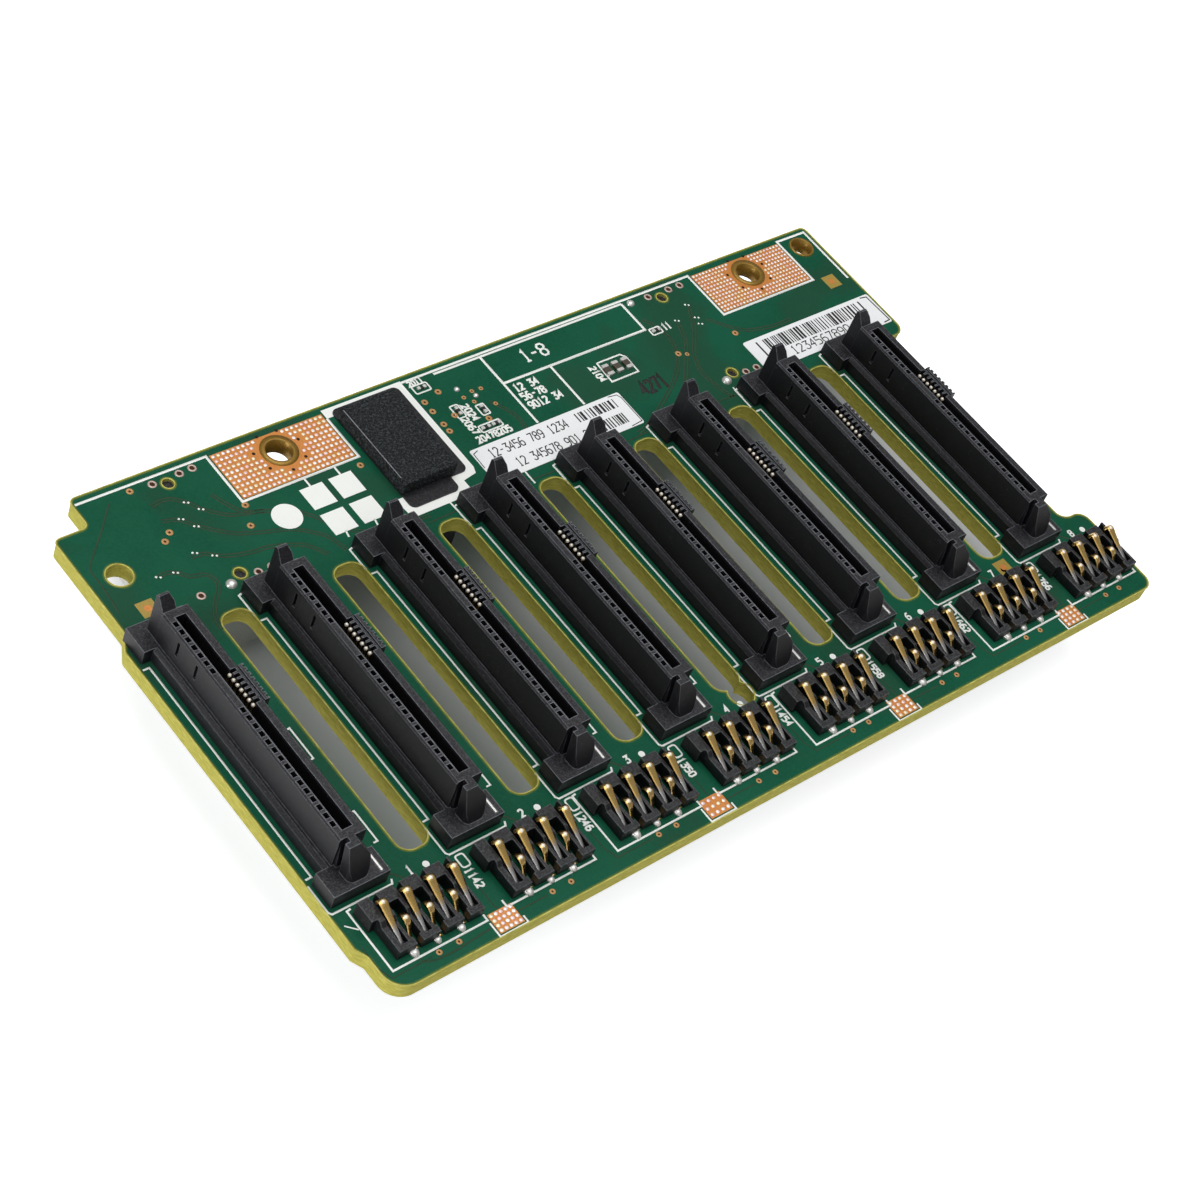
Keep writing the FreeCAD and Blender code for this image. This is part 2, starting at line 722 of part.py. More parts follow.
SOCKET = drive_socket()
CONTACTS = socket_contacts()
BLOCK = spring_block()
BLOCK_SPRINGS = block_springs()
for bay in range(BAYS):
    number = str(bay + 1)
    keep("drive_socket_" + number, at_bay(SOCKET, bay))
    keep("socket_contacts_" + number, *[at_bay(piece, bay) for piece in CONTACTS])
    keep("spring_block_" + number, at_bay(BLOCK, bay))
    keep("block_springs_" + number, *[at_bay(piece, bay) for piece in BLOCK_SPRINGS])
keep("socket_hold_downs", *[at_bay(hold_down(0), bay) for bay in range(BAYS)])

keep("power_header", power_header())
keep("power_header_pins", *power_header_pins())
keep("insulating_film", insulating_film())
keep("foam_pad", foam_pad())
for index, host_x in enumerate(HOST_XS):
    number = str(index + 1)
    keep("host_shell_" + number, host_shell(host_x))
    keep("host_insert_" + number, host_insert(host_x))
    keep("host_contacts_" + number, *host_contacts(host_x))

keep("bay_controller", rear_block(*CONTROLLER, CONTROLLER_W, CONTROLLER_W, CONTROLLER_H))
keep("crystal", rear_block(*CRYSTAL, CRYSTAL_W, CRYSTAL_L, CRYSTAL_H))
keep("inductor", inductor())
keep("capacitors", *capacitors())
keep("rear_chips", *rear_chips())
keep("front_chips", *front_chips())
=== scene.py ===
"""Drive backplane board: its looks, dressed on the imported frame.

The board's layout is written in millimetres from the first bay's corner: x along the row of
sockets, y towards the edge with the screw holes, z up from the board's socket face.
"""
import random
from math import atan2, cos, hypot, pi, radians, sin

import bmesh
import bpy
from mathutils import Matrix, Vector


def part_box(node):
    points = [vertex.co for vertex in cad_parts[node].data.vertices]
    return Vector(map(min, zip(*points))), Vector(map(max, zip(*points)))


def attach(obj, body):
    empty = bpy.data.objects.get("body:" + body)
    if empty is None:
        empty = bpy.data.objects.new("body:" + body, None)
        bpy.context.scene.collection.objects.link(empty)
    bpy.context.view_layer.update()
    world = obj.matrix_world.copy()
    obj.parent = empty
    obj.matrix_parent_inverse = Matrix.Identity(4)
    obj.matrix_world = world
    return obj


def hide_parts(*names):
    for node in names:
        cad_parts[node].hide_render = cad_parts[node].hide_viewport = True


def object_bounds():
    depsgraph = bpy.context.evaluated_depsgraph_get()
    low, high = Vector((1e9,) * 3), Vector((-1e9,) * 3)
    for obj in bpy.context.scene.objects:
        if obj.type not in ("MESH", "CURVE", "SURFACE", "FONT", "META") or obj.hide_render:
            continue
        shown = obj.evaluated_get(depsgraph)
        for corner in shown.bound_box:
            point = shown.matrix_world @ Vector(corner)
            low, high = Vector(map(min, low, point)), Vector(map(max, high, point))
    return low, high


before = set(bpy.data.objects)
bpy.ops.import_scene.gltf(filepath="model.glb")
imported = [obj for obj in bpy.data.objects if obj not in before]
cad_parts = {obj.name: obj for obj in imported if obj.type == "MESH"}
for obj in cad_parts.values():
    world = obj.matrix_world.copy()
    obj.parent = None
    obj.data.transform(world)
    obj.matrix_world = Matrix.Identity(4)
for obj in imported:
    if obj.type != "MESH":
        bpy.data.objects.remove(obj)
CAD_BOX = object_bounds()

MM = 0.001
WELD = 0.000002           # loose triangles closer than this are joined, in metres
BAYS = 8
BOARD_T = 2.4
PRINT_T = 0.03            # copper pads and printed fields above the board
FOOT_LEFT = 0.6          # first bay's corner, from the low left corner of the first socket
FOOT_TAIL = 37.85

# ---- layout ----
FOOT_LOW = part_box("drive_socket_1")[0]
PITCH = (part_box("drive_socket_2")[0][0] - FOOT_LOW[0]) / MM
CORNER = Vector((FOOT_LOW[0] + FOOT_LEFT * MM, FOOT_LOW[1] + FOOT_TAIL * MM,
                 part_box("circuit_board")[1][2]))


def at(x, y, z=0.0):
    """A point of the layout, in metres in the row frame."""
    return CORNER + Vector((x, y, z)) * MM


# ---- camera ----
CAMERA_PLACE = (-219.1, -164.8, 251.8)
CAMERA_RIGHT = (0.73887, -0.61092, 0.28434)
CAMERA_UP = (0.33873, 0.70151, 0.62702)
CAMERA_LENS = 80.76


def aim_camera():
    camera = bpy.data.objects.new("camera", bpy.data.cameras.new("camera"))
    bpy.context.scene.collection.objects.link(camera)
    right, up = Vector(CAMERA_RIGHT), Vector(CAMERA_UP)
    turn = Matrix((right, up, right.cross(up))).transposed().to_4x4()
    camera.matrix_world = Matrix.Translation(Vector(CAMERA_PLACE) * MM) @ turn
    camera.data.sensor_width = 36.0
    camera.data.lens = CAMERA_LENS
    camera.data.clip_start = 0.01
    camera.data.clip_end = 20.0
    bpy.context.scene.camera = camera


# ---- node trees ----
class Wiring:
    """Places nodes in a tree and joins them."""

    def __init__(self, tree):
        self.tree = tree

    def put(self, kind, inputs=None, **settings):
        node = self.tree.nodes.new(kind)
        for key, value in settings.items():
            setattr(node, key, value)
        for key, value in (inputs or {}).items():
            self.join(value, node.inputs[key])
        return node

    def join(self, value, socket):
        if isinstance(value, bpy.types.NodeSocket):
            self.tree.links.new(value, socket)
        else:
            socket.default_value = value

    def math(self, operation, a, b=0.0, c=0.0):
        node = self.put("ShaderNodeMath", operation=operation)
        for socket, value in zip(node.inputs, (a, b, c)):
            self.join(value, socket)
        return node.outputs[0]

    def ramp(self, value, low, high, to_low=0.0, to_high=1.0):
        """Value between low and high, spread over to_low to to_high and held at both ends."""
        node = self.put("ShaderNodeMapRange", {0: value, 1: low, 2: high, 3: to_low, 4: to_high})
        return node.outputs[0]

    def mix(self, factor, a, b):
        node = self.put("ShaderNodeMix", data_type="RGBA")
        self.join(factor, node.inputs["Factor"])
        self.join(a, node.inputs[6])
        self.join(b, node.inputs[7])
        return node.outputs[2]

    def place(self):
        return self.put("ShaderNodeTexCoord").outputs["Object"]

    def noise(self, scale, detail, rough=0.5):
        node = self.put("ShaderNodeTexNoise", {"Vector": self.place(), "Scale": scale,
                                               "Detail": detail, "Roughness": rough})
        return node.outputs[0]

    def bump(self, height, strength, distance):
        node = self.put("ShaderNodeBump", {"Height": height, "Strength": strength,
                                           "Distance": distance})
        return node.outputs[0]

    def parts(self, vector):
        return self.put("ShaderNodeSeparateXYZ", {0: vector}).outputs

    def facing_up(self):
        """How far the flat surface faces up: its normal along z."""
        return self.parts(self.put("ShaderNodeNewGeometry").outputs["Normal"])[2]


def node_group(name, inputs, outputs, build):
    """A shader node group with named sockets. build(wiring, group input, group output)."""
    tree = bpy.data.node_groups.new(name, "ShaderNodeTree")
    for label, kind, default in inputs:
        socket = tree.interface.new_socket(label, in_out="INPUT", socket_type=kind)
        socket.default_value = default
    for label, kind in outputs:
        tree.interface.new_socket(label, in_out="OUTPUT", socket_type=kind)
    wiring = Wiring(tree)
    build(wiring, wiring.put("NodeGroupInput"), wiring.put("NodeGroupOutput"))
    return tree


FLOAT = "NodeSocketFloat"
VECTOR = "NodeSocketVector"


def build_grain(w, given, out):
    """Fine moulded grain: two noises for shade, one bump."""
    fine = w.noise(given.outputs["Scale"], 5.0, 0.6)
    broad = w.noise(w.math("MULTIPLY", given.outputs["Scale"], 0.08), 3.0)
    shade = w.math("ADD", w.math("MULTIPLY", fine, 0.75), w.math("MULTIPLY", broad, 0.25))
    w.join(w.ramp(shade, 0.3, 0.7), out.inputs["Shade"])
    w.join(w.bump(fine, given.outputs["Strength"], given.outputs["Depth"]), out.inputs["Normal"])


def build_edge_wear_and_highlight(w, given, out):
    """Rubbed edges and painted highlight: where the rounded normal leaves the flat one, broken up
    by noise, and kept mainly on upward faces, as a lit edge is.
    """
    soft = w.put("ShaderNodeBevel", {"Radius": given.outputs["Radius"]}, samples=6)
    flat = w.put("ShaderNodeNewGeometry").outputs["Normal"]
    dot = w.put("ShaderNodeVectorMath", {0: soft.outputs[0], 1: flat}, operation="DOT_PRODUCT")
    turned = w.math("SUBTRACT", 1.0, dot.outputs["Value"])
    broken = w.ramp(w.noise(2200.0, 4.0), 0.32, 0.62, 0.45, 1.0)
    mask = w.math("MULTIPLY", w.ramp(turned, 0.01, 0.16), broken)
    # Painted highlight: the edge mark is kept mainly on upward faces, where the top lamp falls.
    mask = w.math("MULTIPLY", mask, w.ramp(w.facing_up(), 0.1, 0.5, 0.15, 1.0))
    w.join(mask, out.inputs["Mask"])


def build_dust(w, given, out):
    """Settled dust: specks everywhere, and a thin film on what faces up."""
    specks = w.put("ShaderNodeTexVoronoi", {"Vector": w.place(), "Scale": given.outputs["Scale"]})
    near = w.ramp(specks.outputs["Distance"], 0.05, 0.13, 1.0, 0.0)
    some = w.ramp(w.noise(900.0, 2.0), 0.55, 0.6)
    haze = w.ramp(w.noise(5200.0, 5.0, 0.75), 0.46, 0.72, 0.0, 0.4)
    film = w.math("MULTIPLY", w.ramp(w.facing_up(), 0.3, 1.0), haze)
    total = w.math("ADD", w.math("MULTIPLY", near, some), film)
    w.join(w.math("MULTIPLY", total, given.outputs["Amount"]), out.inputs["Mask"])


GRAIN = node_group(
    "fine grain", [("Scale", FLOAT, 9000.0), ("Strength", FLOAT, 0.4), ("Depth", FLOAT, 0.00005)],
    [("Shade", FLOAT), ("Normal", VECTOR)], build_grain)
EDGE_WEAR_AND_HIGHLIGHT = node_group("rubbed edges and painted highlight", [("Radius", FLOAT, 0.00015)], [("Mask", FLOAT)], build_edge_wear_and_highlight)
DUST = node_group("settled dust", [("Scale", FLOAT, 2500.0), ("Amount", FLOAT, 0.5)],
                  [("Mask", FLOAT)], build_dust)


def rgb(r, g, b):
    return (r, g, b, 1.0)


def surface(name, metallic=0.0, rough=0.5, specular=0.5):
    """A new material, its wiring and the inputs of its principled shader."""
    material = bpy.data.materials.new(name)
    material.use_nodes = True
    shader = material.node_tree.nodes["Principled BSDF"]
    shader.inputs["Metallic"].default_value = metallic
    shader.inputs["Roughness"].default_value = rough
    shader.inputs["Specular IOR Level"].default_value = specular
    return material, Wiring(material.node_tree), shader.inputs


def grouped(w, tree, **values):
    node = w.put("ShaderNodeGroup", node_tree=tree)
    for label, value in values.items():
        w.join(value, node.inputs[label])
    return node.outputs


def grained(name, low, high, scale, strength, **settings):
    """A material of two colours blended by fine grain, its wiring, inputs and the shade."""
    material, w, into = surface(name, **settings)
    grain = grouped(w, GRAIN, Scale=scale, Strength=strength)
    w.join(w.mix(grain["Shade"], low, high), into["Base Color"])
    w.join(grain["Normal"], into["Normal"])
    return material, w, into, grain["Shade"]


def moulding(name, base, worn_and_lit, rough, strength=0.4, dust=0.35, edge=0.00016):
    """Moulded plastic with grain, dust and rubbed edges, whose lighter edge colour is partly a
    painted highlight.
    """
    material, w, into = surface(name, specular=0.3)
    grain = grouped(w, GRAIN, Scale=9000.0, Strength=strength)
    dark = rgb(*(c * 0.72 for c in base[:3]))
    colour = w.mix(grain["Shade"], dark, base)
    # Lighter edge colour: partly rubbed wear, partly a painted highlight on the upward edges.
    colour = w.mix(grouped(w, EDGE_WEAR_AND_HIGHLIGHT, Radius=edge)["Mask"], colour, worn_and_lit)
    colour = w.mix(grouped(w, DUST, Amount=dust)["Mask"], colour, rgb(0.32, 0.33, 0.34))
    w.join(colour, into["Base Color"])
    w.join(w.ramp(grain["Shade"], 0.0, 1.0, rough - 0.08, rough + 0.1), into["Roughness"])
    w.join(grain["Normal"], into["Normal"])
    return material


def metal(name, base, dull, rough, strength=0.15, metallic=1.0):
    """Plated or drawn metal with a little tarnish."""
    material, w, into, shade = grained(name, dull, base, 6000.0, strength, metallic=metallic)
    w.join(w.ramp(shade, 0.0, 1.0, rough + 0.1, rough - 0.05), into["Roughness"])
    return material


def make_ink(name, base, faded, rough=0.55):
    """Printed ink, a little thin in places."""
    return grained(name, faded, base, 7000.0, 0.25, rough=rough, specular=0.2)[0]


def laminate_colour(w):
    """Glass laminate: olive yellow with thin layers along z and fibre ends."""
    layers = w.put("ShaderNodeMapping", {"Vector": w.place(), "Scale": (900.0, 900.0, 9000.0)})
    fibre = w.put("ShaderNodeTexNoise", {"Vector": layers.outputs[0], "Scale": 1.0, "Detail": 6.0,
                                         "Roughness": 0.65}).outputs[0]
    olive = w.mix(w.ramp(fibre, 0.35, 0.65), rgb(0.36, 0.325, 0.055), rgb(0.62, 0.575, 0.14))
    return olive, fibre


def make_board_material():
    """Solder mask on the two faces, bare laminate on every cut edge."""
    material, w, into = surface("solder_mask_board", rough=0.4, specular=0.06)
    face = w.ramp(w.math("ABSOLUTE", w.facing_up()), 0.6, 0.8)
    weave = w.noise(2600.0, 3.0)
    green = w.mix(w.ramp(w.noise(90.0, 4.0), 0.35, 0.65), rgb(0.0045, 0.072, 0.036),
                  rgb(0.008, 0.092, 0.049))
    green = w.mix(w.ramp(weave, 0.3, 0.75, 0.0, 0.45), green, rgb(0.014, 0.110, 0.062))
    green = w.mix(w.ramp(w.noise(60.0, 3.0), 0.54, 0.62, 0.0, 0.5), green,
                  rgb(0.020, 0.062, 0.034))
    bare = w.ramp(grouped(w, EDGE_WEAR_AND_HIGHLIGHT, Radius=0.0006)["Mask"], 0.06, 0.13, 0.0, 0.9)
    green = w.mix(bare, green, rgb(0.230, 0.250, 0.030))
    laminate, fibre = laminate_colour(w)
    w.join(w.mix(face, laminate, green), into["Base Color"])
    w.join(w.ramp(face, 0.0, 1.0, 0.75, 0.36), into["Roughness"])
    height = w.math("ADD", w.math("MULTIPLY", weave, 0.5), w.math("MULTIPLY", fibre, 0.5))
    w.join(w.bump(height, 0.25, 0.00004), into["Normal"])
    return material


def make_laminate():
    material, w, into = surface("laminate_edge", rough=0.7, specular=0.35)
    colour, fibre = laminate_colour(w)
    w.join(colour, into["Base Color"])
    w.join(w.bump(fibre, 0.4, 0.00004), into["Normal"])
    return material


def make_traces():
    """Copper tracks under the mask: the green, duller and a little warmer."""
    material, w, into = surface("masked_track", rough=0.38, specular=0.06)
    w.join(w.mix(w.noise(400.0, 3.0), rgb(0.026, 0.060, 0.034), rgb(0.054, 0.082, 0.048)),
           into["Base Color"])
    return material


def make_foam():
    """Closed-cell foam: black with a close speckle of cell walls."""
    material, w, into = surface("foam_cells", rough=0.92, specular=0.25)
    cells = w.put("ShaderNodeTexVoronoi", {"Vector": w.place(), "Scale": 3800.0})
    cells = cells.outputs["Distance"]
    noise = w.noise(3000.0, 6.0, 0.7)
    wall = w.math("MULTIPLY", w.ramp(cells, 0.2, 0.7), w.ramp(noise, 0.42, 0.62))
    w.join(w.mix(wall, rgb(0.006, 0.007, 0.008), rgb(0.062, 0.070, 0.075)), into["Base Color"])
    w.join(w.bump(w.math("ADD", cells, noise), 0.8, 0.00012), into["Normal"])
    return material


def make_spring_metal():
    """Spring strip, gold over its upper half and tin-grey at the leg."""
    material, w, into = surface("spring_gold_over_nickel", metallic=1.0, rough=0.26)
    shade = grouped(w, GRAIN, Scale=5000.0, Strength=0.12)["Shade"]
    start = CORNER.z + 1.95 * MM
    level = w.math("ADD", w.parts(w.place())[2], w.math("MULTIPLY", shade, 0.0003))
    gold = w.mix(shade, rgb(0.62, 0.37, 0.09), rgb(0.95, 0.68, 0.27))
    grey = w.mix(shade, rgb(0.36, 0.35, 0.34), rgb(0.72, 0.71, 0.69))
    w.join(w.mix(w.ramp(level, start, start + 0.45 * MM), grey, gold), into["Base Color"])
    w.join(w.ramp(shade, 0.0, 1.0, 0.38, 0.2), into["Roughness"])
    return material


def make_bumps_with_glint():
    """Solder bumps: tin raised to near white, each with a faint pink or straw tint, a painted
    highlight.
    """
    material, w, into = surface("solder_bumps", metallic=0.35, rough=0.3)
    # Painted highlight: near-white tin with pink and straw tints, the colours of the bumps' glints.
    colour = w.mix(w.ramp(w.noise(900.0, 1.0), 0.45, 0.62), rgb(0.98, 0.95, 0.93),
                   rgb(0.93, 0.66, 0.66))
    colour = w.mix(w.ramp(w.noise(640.0, 1.0), 0.52, 0.66), colour, rgb(0.92, 0.84, 0.58))
    w.join(colour, into["Base Color"])
    return material


MASK = make_board_material()
LAMINATE = make_laminate()
TRACK = make_traces()
WHITE_INK = make_ink("white_print", rgb(0.94, 0.95, 0.92), rgb(0.86, 0.88, 0.84))
BLACK_INK = make_ink("black_print", rgb(0.018, 0.018, 0.018), rgb(0.035, 0.037, 0.036))
SOCKET_PLASTIC = moulding("socket_moulding", rgb(0.0092, 0.0090, 0.0122), rgb(0.25, 0.265, 0.295),
                          0.44, strength=0.5, dust=0.55, edge=0.00022)
BLOCK_PLASTIC = moulding("comb_moulding", rgb(0.0078, 0.0080, 0.0098), rgb(0.22, 0.23, 0.25),
                         0.40, strength=0.7, dust=0.6, edge=0.0002)
HEADER_PLASTIC = moulding("header_moulding", rgb(0.020, 0.020, 0.020), rgb(0.08, 0.08, 0.08), 0.5)
CHIP_PLASTIC = moulding("chip_moulding", rgb(0.022, 0.022, 0.024), rgb(0.07, 0.07, 0.07),
                        0.55, dust=0.15)
FILM = moulding("insulating_film_skin", rgb(0.0075, 0.0075, 0.0095), rgb(0.06, 0.06, 0.065),
                0.35, strength=0.15)
DARK_CERAMIC = moulding("dark_ceramic", rgb(0.075, 0.062, 0.045), rgb(0.2, 0.18, 0.14),
                        0.45, dust=0.1)
CERAMIC = moulding("fired_ceramic", rgb(0.30, 0.24, 0.17), rgb(0.5, 0.45, 0.38), 0.5, dust=0.1)
CAPACITOR = moulding("capacitor_case", rgb(0.45, 0.25, 0.03), rgb(0.6, 0.4, 0.1), 0.4, dust=0.1)
FOAM = make_foam()
SPRING = make_spring_metal()
BUMPS_WITH_GLINT = make_bumps_with_glint()
GOLD = metal("contact_gold", rgb(0.93, 0.66, 0.27), rgb(0.66, 0.40, 0.12), 0.25)
TIN = metal("solder_tin", rgb(0.86, 0.85, 0.82), rgb(0.60, 0.59, 0.56), 0.34,
            strength=0.3, metallic=0.7)
NICKEL = metal("nickel_shell", rgb(0.66, 0.65, 0.61), rgb(0.48, 0.47, 0.44), 0.32)
COPPER = metal("bare_copper", rgb(0.72, 0.29, 0.065), rgb(0.52, 0.18, 0.035), 0.45,
               strength=0.25, metallic=0.35)
PLATING = metal("gold_plating", rgb(0.36, 0.215, 0.032), rgb(0.20, 0.105, 0.014), 0.36,
                metallic=0.5)
TENTED = metal("via_copper", rgb(0.60, 0.34, 0.14), rgb(0.42, 0.21, 0.07), 0.5, metallic=0.2)
PIN_RING = metal("dull_pin_ring", rgb(0.66, 0.54, 0.48), rgb(0.40, 0.28, 0.22), 0.4, metallic=0.4)
# Near-white gold, a painted highlight: the glint on the second port's tips and on the combs'
# contact dimples.
HIGHLIGHT_TIPS = metal("contact_tips_painted_highlight", rgb(0.98, 0.93, 0.84), rgb(0.90, 0.80, 0.62), 0.25,
             metallic=0.2)
MASKED_GOLD = metal("pad_under_mask", rgb(0.46, 0.31, 0.055), rgb(0.30, 0.21, 0.035), 0.45,
                    metallic=0.15)
PAPER = grained("label_paper", rgb(0.84, 0.85, 0.86), rgb(0.91, 0.92, 0.93), 5200.0, 0.2,
                rough=0.6, specular=0.35)[0]
FOAM_EDGE_LINE_INK = make_ink("foam_pale_edge_ink", rgb(0.34, 0.36, 0.38), rgb(0.12, 0.13, 0.14), 0.5)
# Painted shade: a near-black disc stands for the dark inside of each small hole round the screw
# holes.
HOLE_SHADE = make_ink("painted_hole_shade", rgb(0.010, 0.007, 0.005), rgb(0.03, 0.018, 0.010), 0.8)
# Painted shade: dark brown discs stand for the shaded inside of the via and pin holes, brown from
# their copper.
HOLE_SHADE_BROWN = make_ink("painted_hole_shade_brown", rgb(0.09, 0.028, 0.010), rgb(0.035, 0.012, 0.006), 0.8)


# ---- making pieces ----
def painted(mesh, material):
    mesh.materials.clear()
    mesh.materials.append(material)


def settle(name, mesh, material, slot, *nodes):
    """A finished mesh becomes a piece of the object, and may stand for CAD nodes."""
    painted(mesh, material)
    mesh.name = name
    piece = working(mesh, name)
    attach(piece, "root")
    if nodes:
        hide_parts(*nodes)
    return piece


def evaluated_mesh(holder):
    """The plain mesh of a working object after its modifiers. The working object is removed."""
    graph = bpy.context.evaluated_depsgraph_get()
    graph.update()
    mesh = bpy.data.meshes.new_from_object(holder.evaluated_get(graph), depsgraph=graph)
    bpy.data.objects.remove(holder)
    return mesh


def working(data, name="working"):
    holder = bpy.data.objects.new(name, data)
    bpy.context.scene.collection.objects.link(holder)
    return holder


def geometry_tree(name, build, **inputs):
    """A geometry node tree with Geometry, Material and its own named inputs."""
    tree = bpy.data.node_groups.new(name, "GeometryNodeTree")
    tree.interface.new_socket("Geometry", in_out="INPUT", socket_type="NodeSocketGeometry")
    for label, kind in {**inputs, "Material": "NodeSocketMaterial"}.items():
        tree.interface.new_socket(label, in_out="INPUT", socket_type=kind)
    tree.interface.new_socket("Geometry", in_out="OUTPUT", socket_type="NodeSocketGeometry")
    w = Wiring(tree)
    given = w.put("NodeGroupInput").outputs
    realized = w.put("GeometryNodeRealizeInstances", {"Geometry": build(w, given)}).outputs[0]
    finish = w.put("GeometryNodeSetMaterial", {"Geometry": realized, "Material": given["Material"]})
    w.put("NodeGroupOutput", {"Geometry": finish.outputs[0]})
    return tree


def grown(tree, data, **values):
    """Runs a geometry tree on some data, with its inputs set by name, and returns the mesh."""
    holder = working(data)
    modifier = holder.modifiers.new(tree.name, "NODES")
    modifier.node_group = tree
    for item in tree.interface.items_tree:
        if item.item_type == "SOCKET" and item.in_out == "INPUT" and item.name in values:
            modifier[item.identifier] = values[item.name]
    return evaluated_mesh(holder)


def build_stroke(w, given):
    """Flat ribbon along every spline, as wide as Width times the spline's radius."""
    across = w.put("GeometryNodeCurvePrimitiveQuadrilateral", {"Width": given["Width"],
                                                              "Height": given["Height"]})
    ribbon = w.put("GeometryNodeCurveToMesh", {"Curve": given["Geometry"],
                                               "Profile Curve": across.outputs[0],
                                               "Fill Caps": True})
    if "Scale" in ribbon.inputs:
        w.join(w.put("GeometryNodeInputRadius").outputs[0], ribbon.inputs["Scale"])
    return ribbon.outputs[0]


def build_scatter(w, given):
    """One copy of a piece on every point, turned and scaled by the point's own values."""
    piece = w.put("GeometryNodeObjectInfo", {"Object": given["Piece"]}).outputs["Geometry"]
    size, turn = (w.put("GeometryNodeInputNamedAttribute", {"Name": name}, data_type="FLOAT")
                  for name in ("size", "turn"))
    angles = w.put("ShaderNodeCombineXYZ", {2: turn.outputs[0]}).outputs[0]
    points = w.put("GeometryNodeMeshToPoints", {"Mesh": given["Geometry"]}).outputs[0]
    copies = w.put("GeometryNodeInstanceOnPoints", {"Points": points, "Instance": piece,
                                                    "Rotation": angles, "Scale": size.outputs[0]})
    return copies.outputs[0]


def build_rim(w, given):
    """A narrow bead along the board's upper cut edges, where the mask stops short."""
    level = w.parts(w.put("GeometryNodeInputPosition").outputs[0])[2]
    low = w.put("FunctionNodeCompare", {0: level, 1: given["Level"]}, operation="LESS_THAN")
    merged = w.put("GeometryNodeMergeByDistance", {"Geometry": given["Geometry"],
                                                   "Distance": WELD}).outputs[0]
    angle = w.put("GeometryNodeInputMeshEdgeAngle").outputs[0]
    corner = w.put("FunctionNodeCompare", {0: angle, 1: 1.0}, operation="GREATER_THAN").outputs[0]
    line = w.put("GeometryNodeMeshToCurve", {"Mesh": merged, "Selection": corner}).outputs[0]
    upper = w.put("GeometryNodeDeleteGeometry", {"Geometry": line, "Selection": low.outputs[0]},
                  domain="POINT").outputs[0]
    profile = w.put("GeometryNodeCurvePrimitiveCircle", {"Resolution": 8, "Radius": given["Width"]},
                    mode="RADIUS").outputs[0]
    return w.put("GeometryNodeCurveToMesh", {"Curve": upper, "Profile Curve": profile}).outputs[0]


STROKE = geometry_tree("printed line", build_stroke, Width=FLOAT, Height=FLOAT)
SCATTER = geometry_tree("one on each point", build_scatter, Piece="NodeSocketObject")
RIM = geometry_tree("bare rim", build_rim, Level=FLOAT, Width=FLOAT)


def strokes(paths, width, height, lift, material):
    """One mesh of flat lines. A path is (points, relative width), in layout millimetres, and
    closes on itself if a third value says so.
    """
    curve = bpy.data.curves.new("strokes", "CURVE")
    curve.dimensions = "3D"
    for points, scale, *closed in paths:
        spline = curve.splines.new("POLY")
        spline.points.add(len(points) - 1)
        spline.use_cyclic_u = bool(closed)
        count = len(points)
        for i, (x, y) in enumerate(points):
            before = points[i - 1] if i or closed else None
            after = points[(i + 1) % count] if i < count - 1 or closed else None
            swell = 1.0
            if before and after:
                a = atan2(y - before[1], x - before[0])
                b = atan2(after[1] - y, after[0] - x)
                swell = 1.0 / max(0.4, abs(cos((b - a) / 2)))
            spline.points[i].co = (*at(x, y, lift), 1.0)
            spline.points[i].radius = scale * swell
    return grown(STROKE, curve, Width=width * MM, Height=height * MM, Material=material)


def scatter(points, piece, material):
    """Copies of a working piece on (x, y, z) layout points, which may have a size as well."""
    mesh = bpy.data.meshes.new("points")
    mesh.from_pydata([at(*p[:3]) for p in points], [], [])
    size = mesh.attributes.new("size", "FLOAT", "POINT")
    mesh.attributes.new("turn", "FLOAT", "POINT")
    for i, p in enumerate(points):
        size.data[i].value = p[3] if len(p) > 3 else 1.0
    result = grown(SCATTER, mesh, Piece=piece, Material=material)
    bpy.data.objects.remove(piece)
    return result


def print_lines(name, paths, width, height, lift, ink, slot="board"):
    settle(name, strokes(paths, width, height, lift, ink), ink, slot)


def strew(name, points, piece, material, slot="board"):
    settle(name, scatter(points, piece, material), material, slot)


def from_bmesh(bm, name="part"):
    mesh = bpy.data.meshes.new(name)
    bmesh.ops.recalc_face_normals(bm, faces=bm.faces)
    bm.to_mesh(mesh)
    bm.free()
    return mesh


def smoothed(mesh):
    mesh.polygons.foreach_set("use_smooth", [True] * len(mesh.polygons))
    return mesh


def ring_shape(rings, capped=False, smooth=True):
    """A skin through rings of points in millimetres, as a working object. A ring of one point
    is a pole.
    """
    bm = bmesh.new()
    rings = [[bm.verts.new(Vector(point) * MM) for point in ring] for ring in rings]
    for low, high in zip(rings, rings[1:]):
        count = max(len(low), len(high))
        for i in range(count):
            j = (i + 1) % count
            corners = (low[i % len(low)], low[j % len(low)],
                       high[j % len(high)], high[i % len(high)])
            unique = list(dict.fromkeys(corners))
            if len(unique) > 2:
                bm.faces.new(unique)
    if capped:
        bm.faces.new(rings[0][::-1])
        bm.faces.new(rings[-1])
    mesh = from_bmesh(bm)
    return working(smoothed(mesh) if smooth else mesh)


def lathe(profile, segments, smooth=True):
    """Turned shape from (radius, height) points in millimetres, as a working object."""
    angles = [2 * pi * i / segments for i in range(segments)]
    return ring_shape([[(r * cos(a), r * sin(a), z) for a in angles] if r else [(0, 0, z)]
                       for r, z in profile], smooth=smooth)


